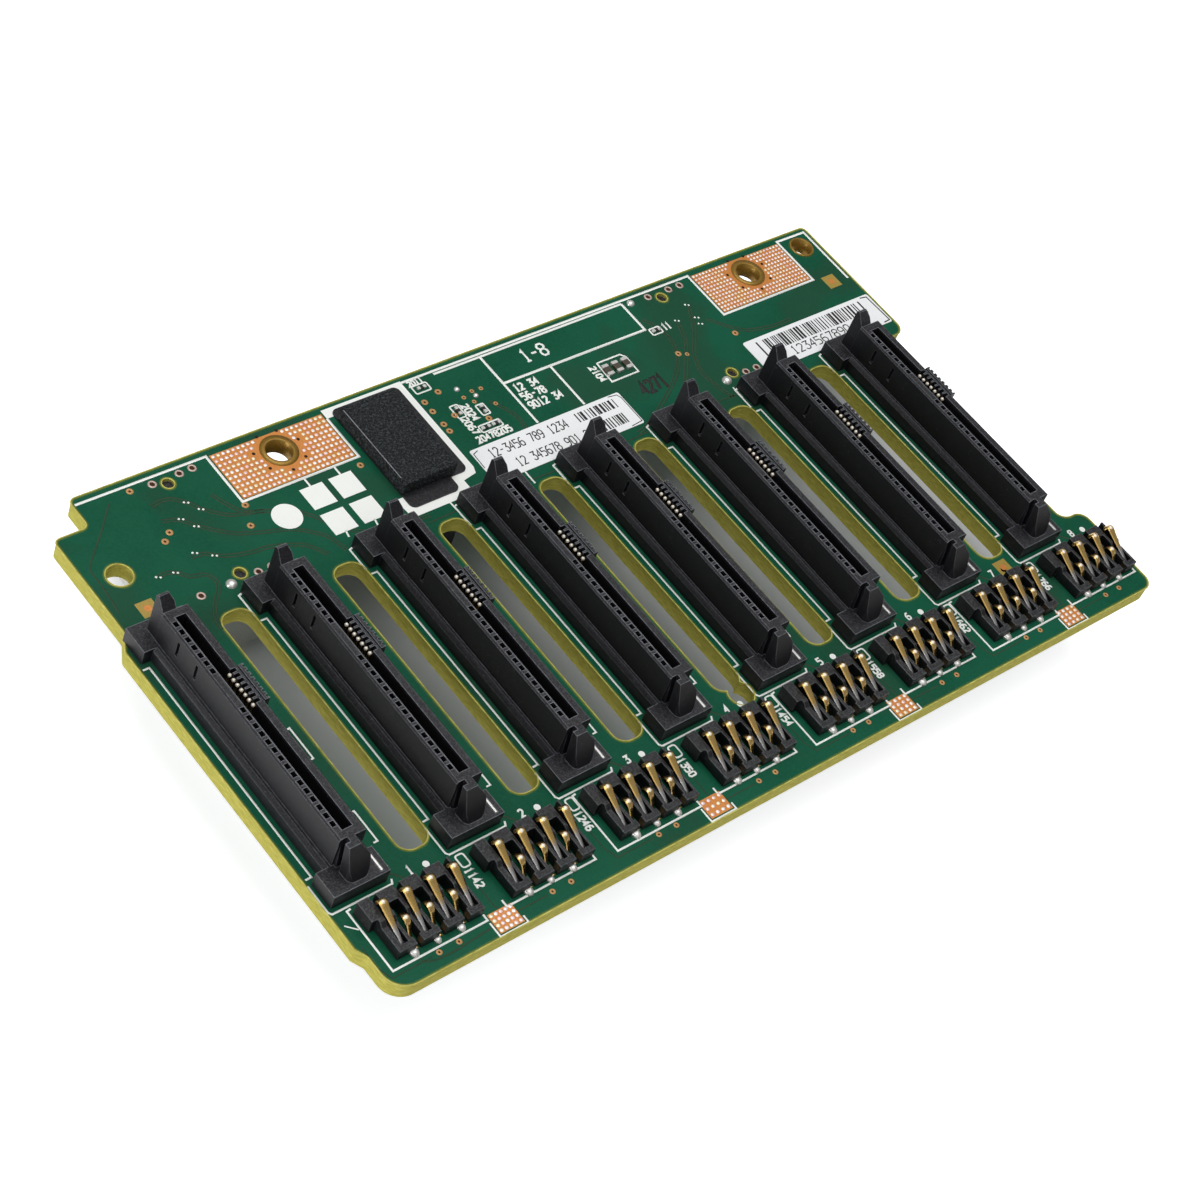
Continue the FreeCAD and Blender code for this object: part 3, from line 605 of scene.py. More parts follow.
def flat_shape(loops, z0=0.0, z1=PRINT_T):
    """Flat plate between two heights, bounded by layout loops. Inner loops are holes."""
    curve = bpy.data.curves.new("plate", "CURVE")
    curve.dimensions = "2D"
    curve.fill_mode = "BOTH"
    curve.extrude = (z1 - z0) / 2 * MM
    for loop in loops:
        spline = curve.splines.new("POLY")
        spline.points.add(len(loop) - 1)
        spline.use_cyclic_u = True
        for i, (x, y) in enumerate(loop):
            spline.points[i].co = (x * MM, y * MM, 0.0, 1.0)
    mesh = evaluated_mesh(working(curve))
    mesh.transform(Matrix.Translation(at(0, 0, (z0 + z1) / 2)))
    return mesh


def box_loop(x0, x1, y0, y1, r=0.0, steps=5):
    """Rectangle, with round corners if r is given."""
    if r == 0:
        return [(x0, y0), (x1, y0), (x1, y1), (x0, y1)]
    loop = []
    for cx, cy, start in ((x1 - r, y0 + r, -pi / 2), (x1 - r, y1 - r, 0),
                          (x0 + r, y1 - r, pi / 2), (x0 + r, y0 + r, pi)):
        for i in range(steps + 1):
            a = start + pi / 2 * i / steps
            loop.append((cx + r * cos(a), cy + r * sin(a)))
    return loop


def circle(x, y, r, count=40):
    turns = [2 * pi * i / count for i in range(count)]
    return [(x + r * cos(a), y + r * sin(a)) for a in turns]


def joined(meshes):
    """Several meshes as one."""
    bm = bmesh.new()
    for mesh in meshes:
        bm.from_mesh(mesh)
    whole = bpy.data.meshes.new("joined")
    bm.to_mesh(whole)
    bm.free()
    return whole


def softened(node, width):
    """A merged copy of a CAD node's mesh with its sharp edges rounded."""
    bm = bmesh.new()
    bm.from_mesh(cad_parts[node].data)
    bmesh.ops.remove_doubles(bm, verts=bm.verts, dist=WELD)
    bmesh.ops.dissolve_limit(bm, angle_limit=radians(1.0), verts=bm.verts, edges=bm.edges)
    mesh = bpy.data.meshes.new(node)
    bm.to_mesh(mesh)
    bm.free()
    holder = working(mesh)
    bevel = holder.modifiers.new("round", "BEVEL")
    bevel.width = width * MM
    bevel.segments = 2
    bevel.limit_method = "ANGLE"
    bevel.angle_limit = radians(35)
    bevel.use_clamp_overlap = True
    bevel.harden_normals = False
    return evaluated_mesh(holder)


def per_bay(*kinds):
    """The same meshes in every bay. Each kind is its mesh, name, material and slot, and may end
    with the CAD node that it stands for there.
    """
    for k in range(BAYS):
        for first, name, material, slot, *nodes in kinds:
            mesh = first.copy()
            mesh.transform(Matrix.Translation((k * PITCH * MM, 0, 0)))
            settle(f"{name}_{k + 1}", mesh, material, slot, *(f"{node}_{k + 1}" for node in nodes))


# ---- strips ----
def smooth_path(points, step=5):
    """Points along an open B-spline-like path through rounded corners."""
    fine = [points[0]]
    for i in range(len(points) - 1):
        p0 = points[max(i - 1, 0)]
        p1, p2 = points[i], points[i + 1]
        p3 = points[min(i + 2, len(points) - 1)]
        for s in range(1, step + 1):
            t = s / step
            fine.append(tuple(
                0.5 * (2 * b + (c - a) * t + (2 * a - 5 * b + 4 * c - d) * t * t
                       + (3 * b - a - 3 * c + d) * t ** 3)
                for a, b, c, d in zip(p0, p1, p2, p3)))
    return fine


# Half outline of a strip's section as (share of half width, side of its thickness).
STRIP_SECTION = ((-1, -0.8), (-0.72, -1.0), (0.72, -1.0), (1, -0.8),
                 (1, 0.8), (0.72, 1.35), (-0.72, 1.35), (-1, 0.8))


def formed_strip(points, widths, thick, along="y"):
    """Sheet strip bent along (run, height) points, with its own width at each."""
    path = smooth_path([(*p, w) for p, w in zip(points, widths)])
    rings = []
    for i, (run, high, wide) in enumerate(path):
        a, b = path[max(i - 1, 0)], path[min(i + 1, len(path) - 1)]
        half = thick / 2 / hypot(b[0] - a[0], b[1] - a[1])
        ring = []
        for side, up in STRIP_SECTION:
            across = side * wide / 2
            r, z = run - (b[1] - a[1]) * half * up, high + (b[0] - a[0]) * half * up
            ring.append((across, r, z) if along == "y" else (r, across, z))
        rings.append(ring)
    return ring_shape(rings, capped=True)


def ring_piece(inner, outer, height, segments=14):
    """Flat metal ring with a domed top."""
    loop = [(inner, 0.0), (inner, height * 0.6), ((inner + outer) / 2, height),
            (outer, height * 0.4), (outer, 0.0)]
    return lathe(loop + loop[:1], segments)


def dot_piece(radius, height, squareness, segments):
    """Low solder dome on a square pad."""
    reaches = []
    for i in range(segments):
        a = 2 * pi * (i + 0.5) / segments
        reach = radius / (abs(cos(a)) ** squareness + abs(sin(a)) ** squareness) ** (1 / squareness)
        reaches.append((reach * cos(a), reach * sin(a)))
    return ring_shape([[(share * x, share * y, level * height) for x, y in reaches]
                       for share, level in ((1.0, 0.0), (0.96, 0.55), (0.72, 0.9), (0.4, 1.0))],
                      capped=True)


# ---- the board's face ----
SCREW_PADS = (  # exposed copper: x0, x1, y0, y1, pitch of its bumps, hole
    (25.4, 43.1, 17.1, 25.0, 0.76, (34.3, 22.0)),
    (110.0, 127.8, 17.1, 25.0, 0.66, (119.1, 22.0)),
)
TEST_PADS = ((15.0, 18.6, -50.1, -47.3), (48.7, 52.3, -50.0, -47.2), (82.4, 86.0, -50.1, -47.3),
             (116.4, 120.0, -50.1, -47.3))
TEST_PITCH = 0.8
LOCATOR_RIGHT = (131.2, 22.9)
LOCATOR_R = 1.75
RING_R = 1.95
RING_CLEAR = 3.15


def dress_board():
    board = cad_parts["circuit_board"].data
    painted(board, MASK)
    rim = grown(RIM, board.copy(), Level=CORNER.z - 0.2 * MM, Width=0.10 * MM, Material=LAMINATE)
    settle("bare_rim", rim, LAMINATE, "board")


def plated_wall(place, radius, flange):
    """Plated wall of a hole, turned out over the board's face."""
    foot = 0.05 - BOARD_T
    wall = [(radius - 0.12, foot), (radius - 0.12, 0.11), (radius - 0.04, 0.14),
            (radius + flange, 0.12), (radius + flange, 0.0), (radius - 0.01, 0.0),
            (radius - 0.01, foot)]
    ring = lathe(wall + wall[:1], 48)
    ring.data.transform(Matrix.Translation(at(*place)))
    mesh = ring.data.copy()
    bpy.data.objects.remove(ring)
    return mesh


def around(hole):
    """The seven small holes round a screw hole."""
    turns = [0.18 + i * 2 * pi / 7 for i in range(7)]
    return [(hole[0] + 3.5 * cos(a), hole[1] + 3.45 * sin(a)) for a in turns]


def disc(radius, height, segments=10):
    """A plain filled mouth of a small hole."""
    return lathe([(radius, 0.0), (radius, height), (0.0, height)], segments, smooth=False)


def dress_pads():
    plates = []
    bumps = []
    plain = [(*edges, TEST_PITCH, None) for edges in TEST_PADS]
    for x0, x1, y0, y1, pitch, hole in (*SCREW_PADS, *plain):
        loops = [box_loop(x0, x1, y0, y1)]
        if hole:
            loops.append(circle(*hole, RING_R + 0.35))
        plates.append(flat_shape(loops))
        columns, rows = round((x1 - x0) / pitch), round((y1 - y0) / pitch)
        step_x, step_y = (x1 - x0) / columns, (y1 - y0) / rows
        centres = [(x0 + (i + 0.5) * step_x, y0 + (j + 0.5) * step_y, PRINT_T)
                   for i in range(columns) for j in range(rows)]
        if hole:
            centres = [c for c in centres if hypot(c[0] - hole[0], c[1] - hole[1]) > RING_CLEAR
                       and min(hypot(c[0] - x, c[1] - y) for x, y in around(hole)) > 0.55]
        bumps.append(scatter(centres, dot_piece(pitch * 0.33, 0.10, 2.6, 10), BUMPS_WITH_GLINT))
    settle("bare_copper_pads", joined(plates), COPPER, "board")
    settle("solder_bumps", joined(bumps), BUMPS_WITH_GLINT, "tin")
    holes = [pad[-1] for pad in SCREW_PADS]
    rings = [plated_wall(hole, RING_R, 0.66) for hole in holes]
    settle("screw_hole_rings", joined(rings), PLATING, "gold")
    settle("locator_hole_wall", plated_wall(LOCATOR_RIGHT, LOCATOR_R, 0.2), PLATING, "gold")
    vias = [(x, y, PRINT_T + 0.001) for hole in holes for x, y in around(hole)]
    # Painted shade of the via holes round each screw hole.
    strew("screw_hole_vias", vias, disc(0.24, 0.006), HOLE_SHADE)


FIDUCIALS = ((4.8, 7.6), (130.7, 15.4), (115.2, -37.9))


def dress_fiducials():
    squares = [flat_shape([box_loop(x - 1.2, x + 1.2, y - 1.2, y + 1.2)]) for x, y in FIDUCIALS]
    settle("fiducial_squares", joined(squares), MASKED_GOLD, "gold")
    centres = [flat_shape([circle(x, y, 0.5)], PRINT_T, 0.05) for x, y in FIDUCIALS]
    settle("fiducial_centres", joined(centres), COPPER, "gold")


VIAS = (
    (13.8, 16.5), (12.5, 15.5), (25.0, 16.2), (23.7, 13.1), (42.7, 15.5), (60.4, 21.8),
    (57.5, 21.0), (57.5, 19.2), (57.5, 16.7), (57.5, 15.4), (59.9, 17.4), (64.0, 15.0),
    (97.7, 13.5), (108.7, 13.2), (13.0, 24.2),
)
SMALL_VIAS = ((63.1, 19.5), (64.0, 18.3), (64.9, 20.0), (66.4, 19.9), (66.6, 16.8), (98.9, 12.9))
PIN_ENDS = (
    (16.2, 24.0), (20.3, 24.1), (22.3, 24.2), (100.9, 24.2), (104.9, 24.2), (107.1, 24.2),
    (11.7, 6.4), (105.0, 6.6), (107.1, 6.6), (20.3, 6.5), (22.3, 6.5),
)
SOLDERED = (  # x, y, radius
    (16.1, 6.3, 0.75), (101.0, 6.4, 0.75), (97.5, 24.2, 0.6), (64.9, 19.1, 0.4), (63.1, 21.1, 0.42),
)
PAIR_DOTS = (
    (18.4, 19.7), (19.5, 18.0), (16.3, 17.7), (17.4, 15.9), (14.8, 12.4), (16.8, 11.0), (8.6, 11.1),
    (10.9, 10.8), (105.5, 20.6), (101.9, 18.7), (105.2, 18.0), (104.9, 16.8),
)
BELOW_COMB = ((7.1, -48.5), (10.0, -48.5))      # two in every bay


def dress_vias():
    wide = [(x, y, 0.0) for x, y in VIAS]
    wide += [(x + k * PITCH, y, 0.0, 0.8) for k in range(BAYS) for x, y in BELOW_COMB]
    wide += [(x, y, 0.0, 0.7) for x, y in SMALL_VIAS]
    strew("via_rings", wide, ring_piece(0.17, 0.50, 0.05), TENTED, "gold")
    # Painted shade: brown discs in the via mouths, and below, on the pin holes.
    strew("via_mouths", wide, disc(0.19, 0.02), HOLE_SHADE_BROWN)
    pins = [(x, y, 0.0) for x, y in PIN_ENDS]
    strew("pin_rings", pins, ring_piece(0.33, 0.62, 0.09, 20), PIN_RING, "tin")
    strew("pin_ends", pins, lathe([(0.36, 0.0), (0.36, 0.03), (0.0, 0.05)], 16), HOLE_SHADE_BROWN)
    dome = lathe([(1.0, 0.0), (0.94, 0.28), (0.7, 0.55), (0.35, 0.7), (0.0, 0.75)], 24)
    strew("solder_domes", [(x, y, 0.0, r) for x, y, r in SOLDERED], dome, TIN, "tin")
    pairs = [(x + side * 0.24, y - side * 0.14, 0.0) for x, y in PAIR_DOTS for side in (-1, 1)]
    strew("track_pair_dots", pairs, lathe([(0.16, 0.0), (0.14, 0.05), (0.0, 0.08)], 10), WHITE_INK)


# Tracks that run under the mask, as the middle line of each close pair.
TRACK_PAIRS = (
    ((14.0, 21.0), (16.5, 21.2), (18.4, 19.8), (19.7, 17.9), (22.1, 15.8), (24.8, 14.9),
     (26.6, 14.5)),
    ((13.9, 18.4), (16.0, 17.7), (17.5, 16.0), (19.2, 14.4), (21.2, 12.9), (24.4, 11.6),
     (27.9, 10.5), (30.2, 8.9), (31.7, 7.3), (32.6, 4.6)),
    ((14.0, 12.0), (15.8, 11.8), (18.0, 10.4), (21.2, 9.5), (24.0, 9.2), (28.0, 7.6), (30.0, 5.0)),
    ((8.4, 11.1), (10.0, 11.2), (11.2, 10.6), (12.1, 9.6), (14.0, 9.0), (14.7, 7.8), (14.3, 6.4),
     (13.0, 5.1), (11.6, 3.2), (11.0, 1.0)),
    ((22.0, 19.5), (24.0, 15.6), (27.5, 14.0), (31.0, 12.0), (36.5, 6.0), (46.0, 4.6)),
    ((97.0, 21.0), (98.5, 18.0), (97.8, 14.0), (94.0, 10.0), (86.0, 5.4), (82.0, 4.0)),
    ((105.6, 20.2), (103.0, 16.0), (100.2, 12.8), (98.6, 9.5), (98.9, 6.5), (99.8, 3.4)),
    ((101.8, 18.4), (100.4, 15.0), (97.6, 11.6), (94.6, 8.4), (91.5, 6.0), (88.0, 4.2)),
    ((106.5, 17.2), (108.4, 14.9), (110.8, 13.0), (115.0, 12.0), (119.0, 12.0)),
    ((66.0, 17.5), (67.6, 14.6), (67.8, 12.0), (66.4, 9.0), (66.6, 5.0)),
)
PAIR_HALF_GAP = 0.22
TRACKS = (
    ((9.6, 23.6), (7.2, 21.1), (4.3, 18.3), (1.9, 15.9), (1.7, 14.4), (1.6, 11.5), (1.3, 8.6)),
    ((45.0, 3.6), (58.0, 3.8), (75.0, 3.4), (92.0, 3.9), (108.0, 3.5)),
    ((4.0, -39.0), (5.0, -43.0), (5.0, -48.8), (14.4, -48.9)),
)


def dress_tracks():
    lines = []
    for middle in TRACK_PAIRS:
        fine = smooth_path(middle, 6)
        for side in (-PAIR_HALF_GAP, PAIR_HALF_GAP):
            shifted = []
            for i, (x, y) in enumerate(fine):
                a, b = fine[max(i - 1, 0)], fine[min(i + 1, len(fine) - 1)]
                run = hypot(b[0] - a[0], b[1] - a[1])
                shifted.append((x - (b[1] - a[1]) / run * side, y + (b[0] - a[0]) / run * side))
            lines.append((shifted, 1.0))
    lines += [(smooth_path(points, 6), 1.0) for points in TRACKS]
    for k in range(BAYS):
        x = k * PITCH
        lines.append(([(x + 8.2, -37.0), (x + 9.6, -38.6), (x + 9.6, -39.2)], 1.2))
        lines.append(([(x - 0.4, -43.6), (x - 0.4, -46.8), (x + 0.3, -48.6), (x + 6.2, -48.6)],
                      0.8))
    print_lines("masked_tracks", lines, 0.22, 0.016, 0.006, TRACK)


# ---- print ----
# Plain stroke numerals on a grid four wide and six high.
NUMERALS = {
    "0": (((1, 0), (0, 1), (0, 5), (1, 6), (3, 6), (4, 5), (4, 1), (3, 0), (1, 0)),),
    "1": (((1, 5), (2, 6), (2, 0)), ((0.8, 0), (3.2, 0))),
    "2": (((0, 5), (1, 6), (3, 6), (4, 5), (4, 4), (0, 0), (4, 0)),),
    "3": (((0, 6), (4, 6), (2, 3.6), (3, 3.6), (4, 2.6), (4, 1), (3, 0), (1, 0), (0, 1)),),
    "4": (((3, 0), (3, 6), (0, 2), (4, 2)),),
    "5": (((4, 6), (0, 6), (0, 3.6), (3, 3.6), (4, 2.6), (4, 1), (3, 0), (0, 0)),),
    "6": (((3.6, 6), (1.6, 6), (0, 4), (0, 1), (1, 0), (3, 0), (4, 1), (4, 2.4), (3, 3.4),
           (0, 3.2)),),
    "7": (((0, 6), (4, 6), (1.4, 0)),),
    "8": (((1, 3.2), (0, 4.2), (0, 5), (1, 6), (3, 6), (4, 5), (4, 4.2), (3, 3.2), (1, 3.2),
           (0, 2.2), (0, 1), (1, 0), (3, 0), (4, 1), (4, 2.2), (3, 3.2)),),
    "9": (((0.4, 0), (2.4, 0), (4, 2), (4, 5), (3, 6), (1, 6), (0, 5), (0, 3.6), (1, 2.6),
           (4, 2.8)),),
    "-": (((0.5, 3), (3.5, 3)),),
}
NUMERAL_STEP = 5.6
DOWN = -pi / 2           # turn of what reads down the board


def numerals(text, x, y, height, weight=1.0, turn=0.0, slim=0.8):
    """Stroke paths of plain numerals from their lower left corner, turned about it."""
    paths = []
    unit = height / 6
    for i, sign in enumerate(text):
        for line in NUMERALS.get(sign, ()):
            points = []
            for px, py in line:
                u = (px + i * NUMERAL_STEP) * slim * unit
                v = py * unit
                points.append((x + u * cos(turn) - v * sin(turn),
                               y + u * sin(turn) + v * cos(turn)))
            paths.append((points, weight))
    return paths


def bay_print(k):
    """Lines printed round one socket and its comb."""
    x = k * PITCH
    low = -47.9 if k % 2 == 0 else -47.5
    frame_start = [(x + 0.9, low + 1.0)] if k % 2 else [(x + 1.5, -38.9), (x + 0.9, -39.0)]
    lines = [
        ([(x - 0.9, 0.0), (x, 0.0), (x, -33.3), (x - 0.85, -33.3)], 1.0),
        ([(x - 1.1, -34.1), (x - 1.1, -38.1), (x - 0.8, -38.5), (x + 7.8, -38.5), (x + 8.1, -37.9)],
         1.0),
        ([(x + 8.7, -34.3), (x + 8.5, -35.2), (x + 8.7, -36.3)], 0.9),
        ([(x + 9.2, -28.2), (x + 9.8, -28.2), (x + 9.8, -32.9), (x + 9.2, -32.9)], 0.9),
        ([(x + 13.2, -38.85), (x + 14.3, -38.85)], 1.0),
        ([(x + 9.5, -38.85), (x + 10.9, -38.85)], 0.9),
        (frame_start + [(x + 0.9, low), (x + 14.7, low), (x + 14.7, low + 0.9)], 1.0),
    ]
    if k:
        lines.append(([(x - 0.5, 4.6), (x - 1.1, 4.4), (x - 1.1, 0.9)], 1.0))
        lines.append((box_loop(x - 0.45, x + 0.75, -40.8, -39.0, 0.3, 2), 0.9, True))
        lines += numerals(str(1038 + 104 * k), x - 0.6, -41.1, 1.0, turn=DOWN)
    return lines + numerals(str(k + 1), x + 10.4, -38.5, 1.05)


PART_OUTLINES = (  # printed round the small parts: x0, x1, y0, y1
    (96.6, 98.5, 17.8, 19.0), (57.4, 59.9, 22.6, 24.0), (60.1, 61.4, 16.6, 18.9),
    (63.6, 64.9, 15.7, 17.6), (61.6, 65.2, 13.2, 14.4),
)


def front_lines():
    lines = [
        ([(5.6, 25.1), (25.0, 25.1), (25.0, 16.8), (43.4, 16.8), (43.4, 24.0)], 1.4),
        ([(56.4, 25.2), (109.6, 25.2), (109.6, 16.8), (128.1, 16.8), (128.1, 25.3), (133.8, 25.3),
          (133.8, 14.9)], 1.4),
        ([(61.8, 24.7), (96.1, 24.7)], 1.4),
        ([(69.9, 24.7), (69.9, 19.3), (96.1, 19.2), (96.1, 24.7)], 1.5),
        ([(69.9, 19.3), (69.9, 11.5)], 1.4),
        ([(78.3, 19.2), (78.3, 11.5)], 1.4),
        ([(34.5, 16.8), (34.5, 15.3)], 1.1),
        ([(39.3, 16.8), (39.3, 15.3)], 1.1),
        ([(34.3, 7.2), (34.1, 6.2)], 1.0),
        ([(38.9, 7.2), (38.7, 6.2)], 1.0),
        ([(49.8, 5.4), (49.9, 3.4), (50.0, 0.9)], 1.0),
        ([(85.0, 16.9), (84.8, 13.2), (89.8, 13.2), (89.9, 16.2), (89.3, 16.9), (85.0, 16.9)], 1.0),
        ([(-0.5, -40.4), (0.7, -41.6)], 0.7),
        ([(9.2, -15.0), (9.9, -14.9), (9.9, -19.8), (9.3, -19.9)], 0.9),
    ]
    lines += [(box_loop(*edges, 0.2, 2), 0.9, True) for edges in PART_OUTLINES]
    lines += [([(x, y), (x, y - 2.2)], 1.0) for x, y in ((62.6, 5.2), (67.0, 4.0), (101.0, 5.0))]
    lines += numerals("1-8", 75.6, 21.2, 2.1, 1.25)
    for i, text in enumerate(("12 34", "56-78", "9012 34")):
        lines += numerals(text, 70.8, 17.3 - 1.7 * i, 1.15, 1.15)
    lines += numerals("2104", 83.3, 16.6, 1.0, 1.1, DOWN) + numerals("11", 99.0, 18.0, 1.0, 1.1)
    lines += numerals("2011", 57.3, 24.1, 0.85) + numerals("2024", 61.7, 18.4, 1.05, 1.1, DOWN)
    lines += numerals("2067", 60.2, 16.4, 1.05, 1.1, DOWN)
    lines += numerals("20478205", 60.0, 11.9, 1.0, 1.1)
    for k in range(BAYS):
        lines += bay_print(k)
    for x0, x1, y0, y1 in TEST_PADS:
        x0, x1, low = x0 - 0.3, x1 + 0.3, y0 - 0.3
        lines.append(([(x0, y1 - 1.0), (x0, low), (x1, low), (x1, y0 + 0.7)], 0.9))
    return lines


CHIP_SPOTS = (  # small parts inside their printed outlines: middle x, y, turned across
    (58.65, 23.3, False), (60.75, 17.75, True), (64.25, 16.65, True), (62.5, 13.8, False),
    (64.3, 13.8, False), (97.55, 18.4, False),
)
CHIP_ROW_X = [84.95 + 1.75 * i for i in range(3)]        # the three larger ones in a row
CHIP_ROW_Y = (14.08, 15.52)                              # their two ends
REAR_PARTS = ("bay_controller", "crystal", "inductor", "capacitors", "power_header", "host_shell_1",
              "host_shell_2")


def layout_box(node):
    """A node's box in layout millimetres."""
    return [(Vector(corner) - CORNER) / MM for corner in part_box(node)]


def dress_small_parts():
    """Resistors as small dark bodies between two tinned ends."""
    bodies = []
    ends = []
    for x, y, across in CHIP_SPOTS:
        along, wide = (0.26, 0.26) if across else (0.28, 0.24)
        bodies.append(flat_shape([box_loop(x - along, x + along, y - wide, y + wide)], 0.0, 0.26))
        for side in (-0.5, 0.5):
            ex, ey = (x, y + side) if across else (x + side, y)
            end = box_loop(ex - 0.24, ex + 0.24, ey - 0.24, ey + 0.24, 0.06, 2)
            ends.append(flat_shape([end], 0.0, 0.3))
    top = layout_box("front_chips")[1].z + 0.03
    ends += [flat_shape([box_loop(x - 0.03, x + 1.03, y, y + 0.5, 0.08, 2)], 0.0, top)
             for x in CHIP_ROW_X for y in CHIP_ROW_Y]
    settle("resistor_bodies", joined(bodies), CHIP_PLASTIC, "board")
    settle("resistor_ends", joined(ends), TIN, "tin")


def dress_rear_print():
    """Outlines printed round the parts on the rear face."""
    lines = []
    for node in REAR_PARTS:
        (x0, y0, _), (x1, y1, _) = layout_box(node)
        lines.append((box_loop(x0 - 0.6, x1 + 0.6, y0 - 0.6, y1 + 0.6, 0.3, 2), 1.0, True))
        lines.append(([(x0 - 1.1, y0 + 0.4), (x0 - 1.1, y0 - 1.1), (x0 + 0.4, y0 - 1.1)], 1.0))
    print_lines("rear_outlines", lines, 0.22, 0.03, -BOARD_T - 0.015, WHITE_INK)


FILM_BORDER = (  # white band round the insulating film, open where the film's notch is
    (43.4, 25.5), (56.6, 25.5), (56.6, 8.9), (56.2, 7.9), (53.9, 7.5), (53.9, 5.8), (53.4, 5.2),
    (44.2, 5.2), (43.6, 5.8), (43.4, 7.9), (42.2, 8.2), (42.2, 8.6), (44.9, 8.6), (44.9, 24.0),
    (43.4, 24.0),
)


SQUARE = 3.6             # side of each plain square printed left of the film


def dress_print():
    print_lines("white_lines", front_lines(), 0.26, 0.03, 0.015, WHITE_INK)
    fields = [flat_shape([box_loop(x, x + SQUARE, y, y + SQUARE)])
              for x in (32.7, 37.3) for y in (11.7, 7.1)]
    fields.append(flat_shape([circle(28.8, 12.4, 2.05)]))
    fields += [flat_shape([circle(12.95 + k * PITCH, -38.2, 0.45, 20)]) for k in range(BAYS)]
    fields.append(flat_shape([FILM_BORDER], 0.0, 0.028))
    settle("white_fields", joined(fields), WHITE_INK, "board")
    stamp = numerals("4271", 87.9, 9.2, 2.1, 1.5, 0.03, 0.62)
    print_lines("ink_stamp", stamp, 0.34, 0.02, 0.012, BLACK_INK)


# ---- labels ----
LABEL_TOP = 0.1
LABELS = ((57.6, 84.2, 5.2, 11.3), (108.2, 134.1, 5.1, 11.1))
LABEL_RULES = (  # short frame lines near the labels' ends, with their relative width
    (((110.3, 10.4), (110.3, 7.6)), 1.8), (((131.5, 10.4), (131.5, 8.0)), 1.8),
    (((132.4, 10.8), (133.6, 10.6), (133.8, 5.5), (132.6, 5.4)), 1.2),
    (((82.2, 11.1), (83.7, 10.9), (84.0, 10.2), (84.0, 5.6), (82.0, 5.4)), 0.8),
    (((58.8, 10.9), (57.9, 10.6), (57.8, 8.0)), 0.8),
)


def label_ink(paths, width):
    return strokes(paths, width, 0.012, LABEL_TOP + 0.008, BLACK_INK)


def bars(x0, x1, y0, y1, seed):
    """Bars of uneven width and gap between two ends of a label."""
    chance = random.Random(seed)
    lines = []
    x = x0
    while x < x1:
        width = chance.choice((0.16, 0.22, 0.3, 0.42))
        lines.append(([(x, y0), (x, y1)], width))
        x += width / 2 + chance.choice((0.28, 0.36, 0.5))
    return label_ink(lines, 1.0)


def dress_labels():
    plates = [flat_shape([box_loop(*edges, 0.35)], 0.02, LABEL_TOP) for edges in LABELS]
    settle("paper_labels", joined(plates), PAPER, "board")
    marks = [
        label_ink(numerals("12-3456 789 1234", 60.0, 9.0, 1.4, slim=0.66)
                  + numerals("12 345678 901 2", 62.6, 6.2, 1.4, slim=0.66), 0.17),
        bars(75.6, 82.8, 9.0, 10.6, 3), bars(77.6, 82.6, 6.2, 8.0, 21),
        bars(111.6, 130.6, 8.0, 10.4, 8),
        label_ink(numerals("1234567890", 114.6, 6.1, 1.45, slim=0.9), 0.17),
        label_ink(LABEL_RULES, 0.16),
    ]
    settle("label_marks", joined(marks), BLACK_INK, "board")


# ---- foam and film ----
def dress_foam():
    """The foam block, cut from sheet, with a pale line along its left top edge, and the film under
    it.
    """
    low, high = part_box("foam_pad")
    bm = bmesh.new()
    bmesh.ops.create_cube(bm, size=1.0)
    for vert in bm.verts:
        for axis in range(3):
            vert.co[axis] = (low if vert.co[axis] < 0 else high)[axis]
    holder = working(from_bmesh(bm))
    bevel = holder.modifiers.new("edge", "BEVEL")
    bevel.width = 0.12 * MM
    bevel.segments = 2
    cells = holder.modifiers.new("cells", "REMESH")
    cells.mode = "VOXEL"
    cells.voxel_size = 0.16 * MM
    texture = bpy.data.textures.new("foam cells", "CLOUDS")
    texture.noise_scale = 0.6 * MM
    texture.noise_depth = 2
    relief = holder.modifiers.new("relief", "DISPLACE")
    relief.texture = texture
    relief.texture_coords = "LOCAL"
    relief.strength = 0.10 * MM
    relief.mid_level = 0.85
    pad = settle("foam_block", smoothed(evaluated_mesh(holder)), FOAM, "foam", "foam_pad")
    (x0, y0, _), (_, y1, top) = layout_box("foam_pad")
    # A thin pale line along the foam's left top edge.
    pale_line = [([(x0 + 0.14, y0 + 1.2), (x0 + 0.14, y1 - 0.6)], 1.0)]
    print_lines("foam_edge_seam", pale_line, 0.12, 0.03, top - 0.02, FOAM_EDGE_LINE_INK, "foam")
    painted(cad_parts["insulating_film"].data, FILM)


# ---- sockets ----
CONTACT_PITCH = 1.27
SIGNAL_Y = -0.1
POWER_Y = -13.95
SECOND_Y = -8.7
SECOND_PITCH = 0.8
PRIMARY = [SIGNAL_Y - CONTACT_PITCH * i for i in range(7)]
PRIMARY += [POWER_Y - CONTACT_PITCH * i for i in range(15)]
SECOND = [SECOND_Y - SECOND_PITCH * i for i in range(7)]


def socket_contacts():
    first = formed_strip(
        [(2.14, 0.06), (2.14, 3.4), (2.2, 4.4), (2.66, 5.3), (2.46, 6.0), (2.24, 6.36)],
        (0.58, 0.58, 0.5, 0.42, 0.4, 0.34), 0.16, along="x")
    second = formed_strip(
        [(4.36, 0.06), (4.36, 3.6), (4.24, 4.6), (3.99, 5.6), (4.1, 6.15), (4.34, 6.36)],
        (0.36, 0.36, 0.38, 0.42, 0.42, 0.36), 0.18, along="x")
    return joined([scatter([(0.0, y, 0.0) for y in PRIMARY], first, GOLD),
                   scatter([(0.0, y, 0.0) for y in SECOND], second, GOLD)])


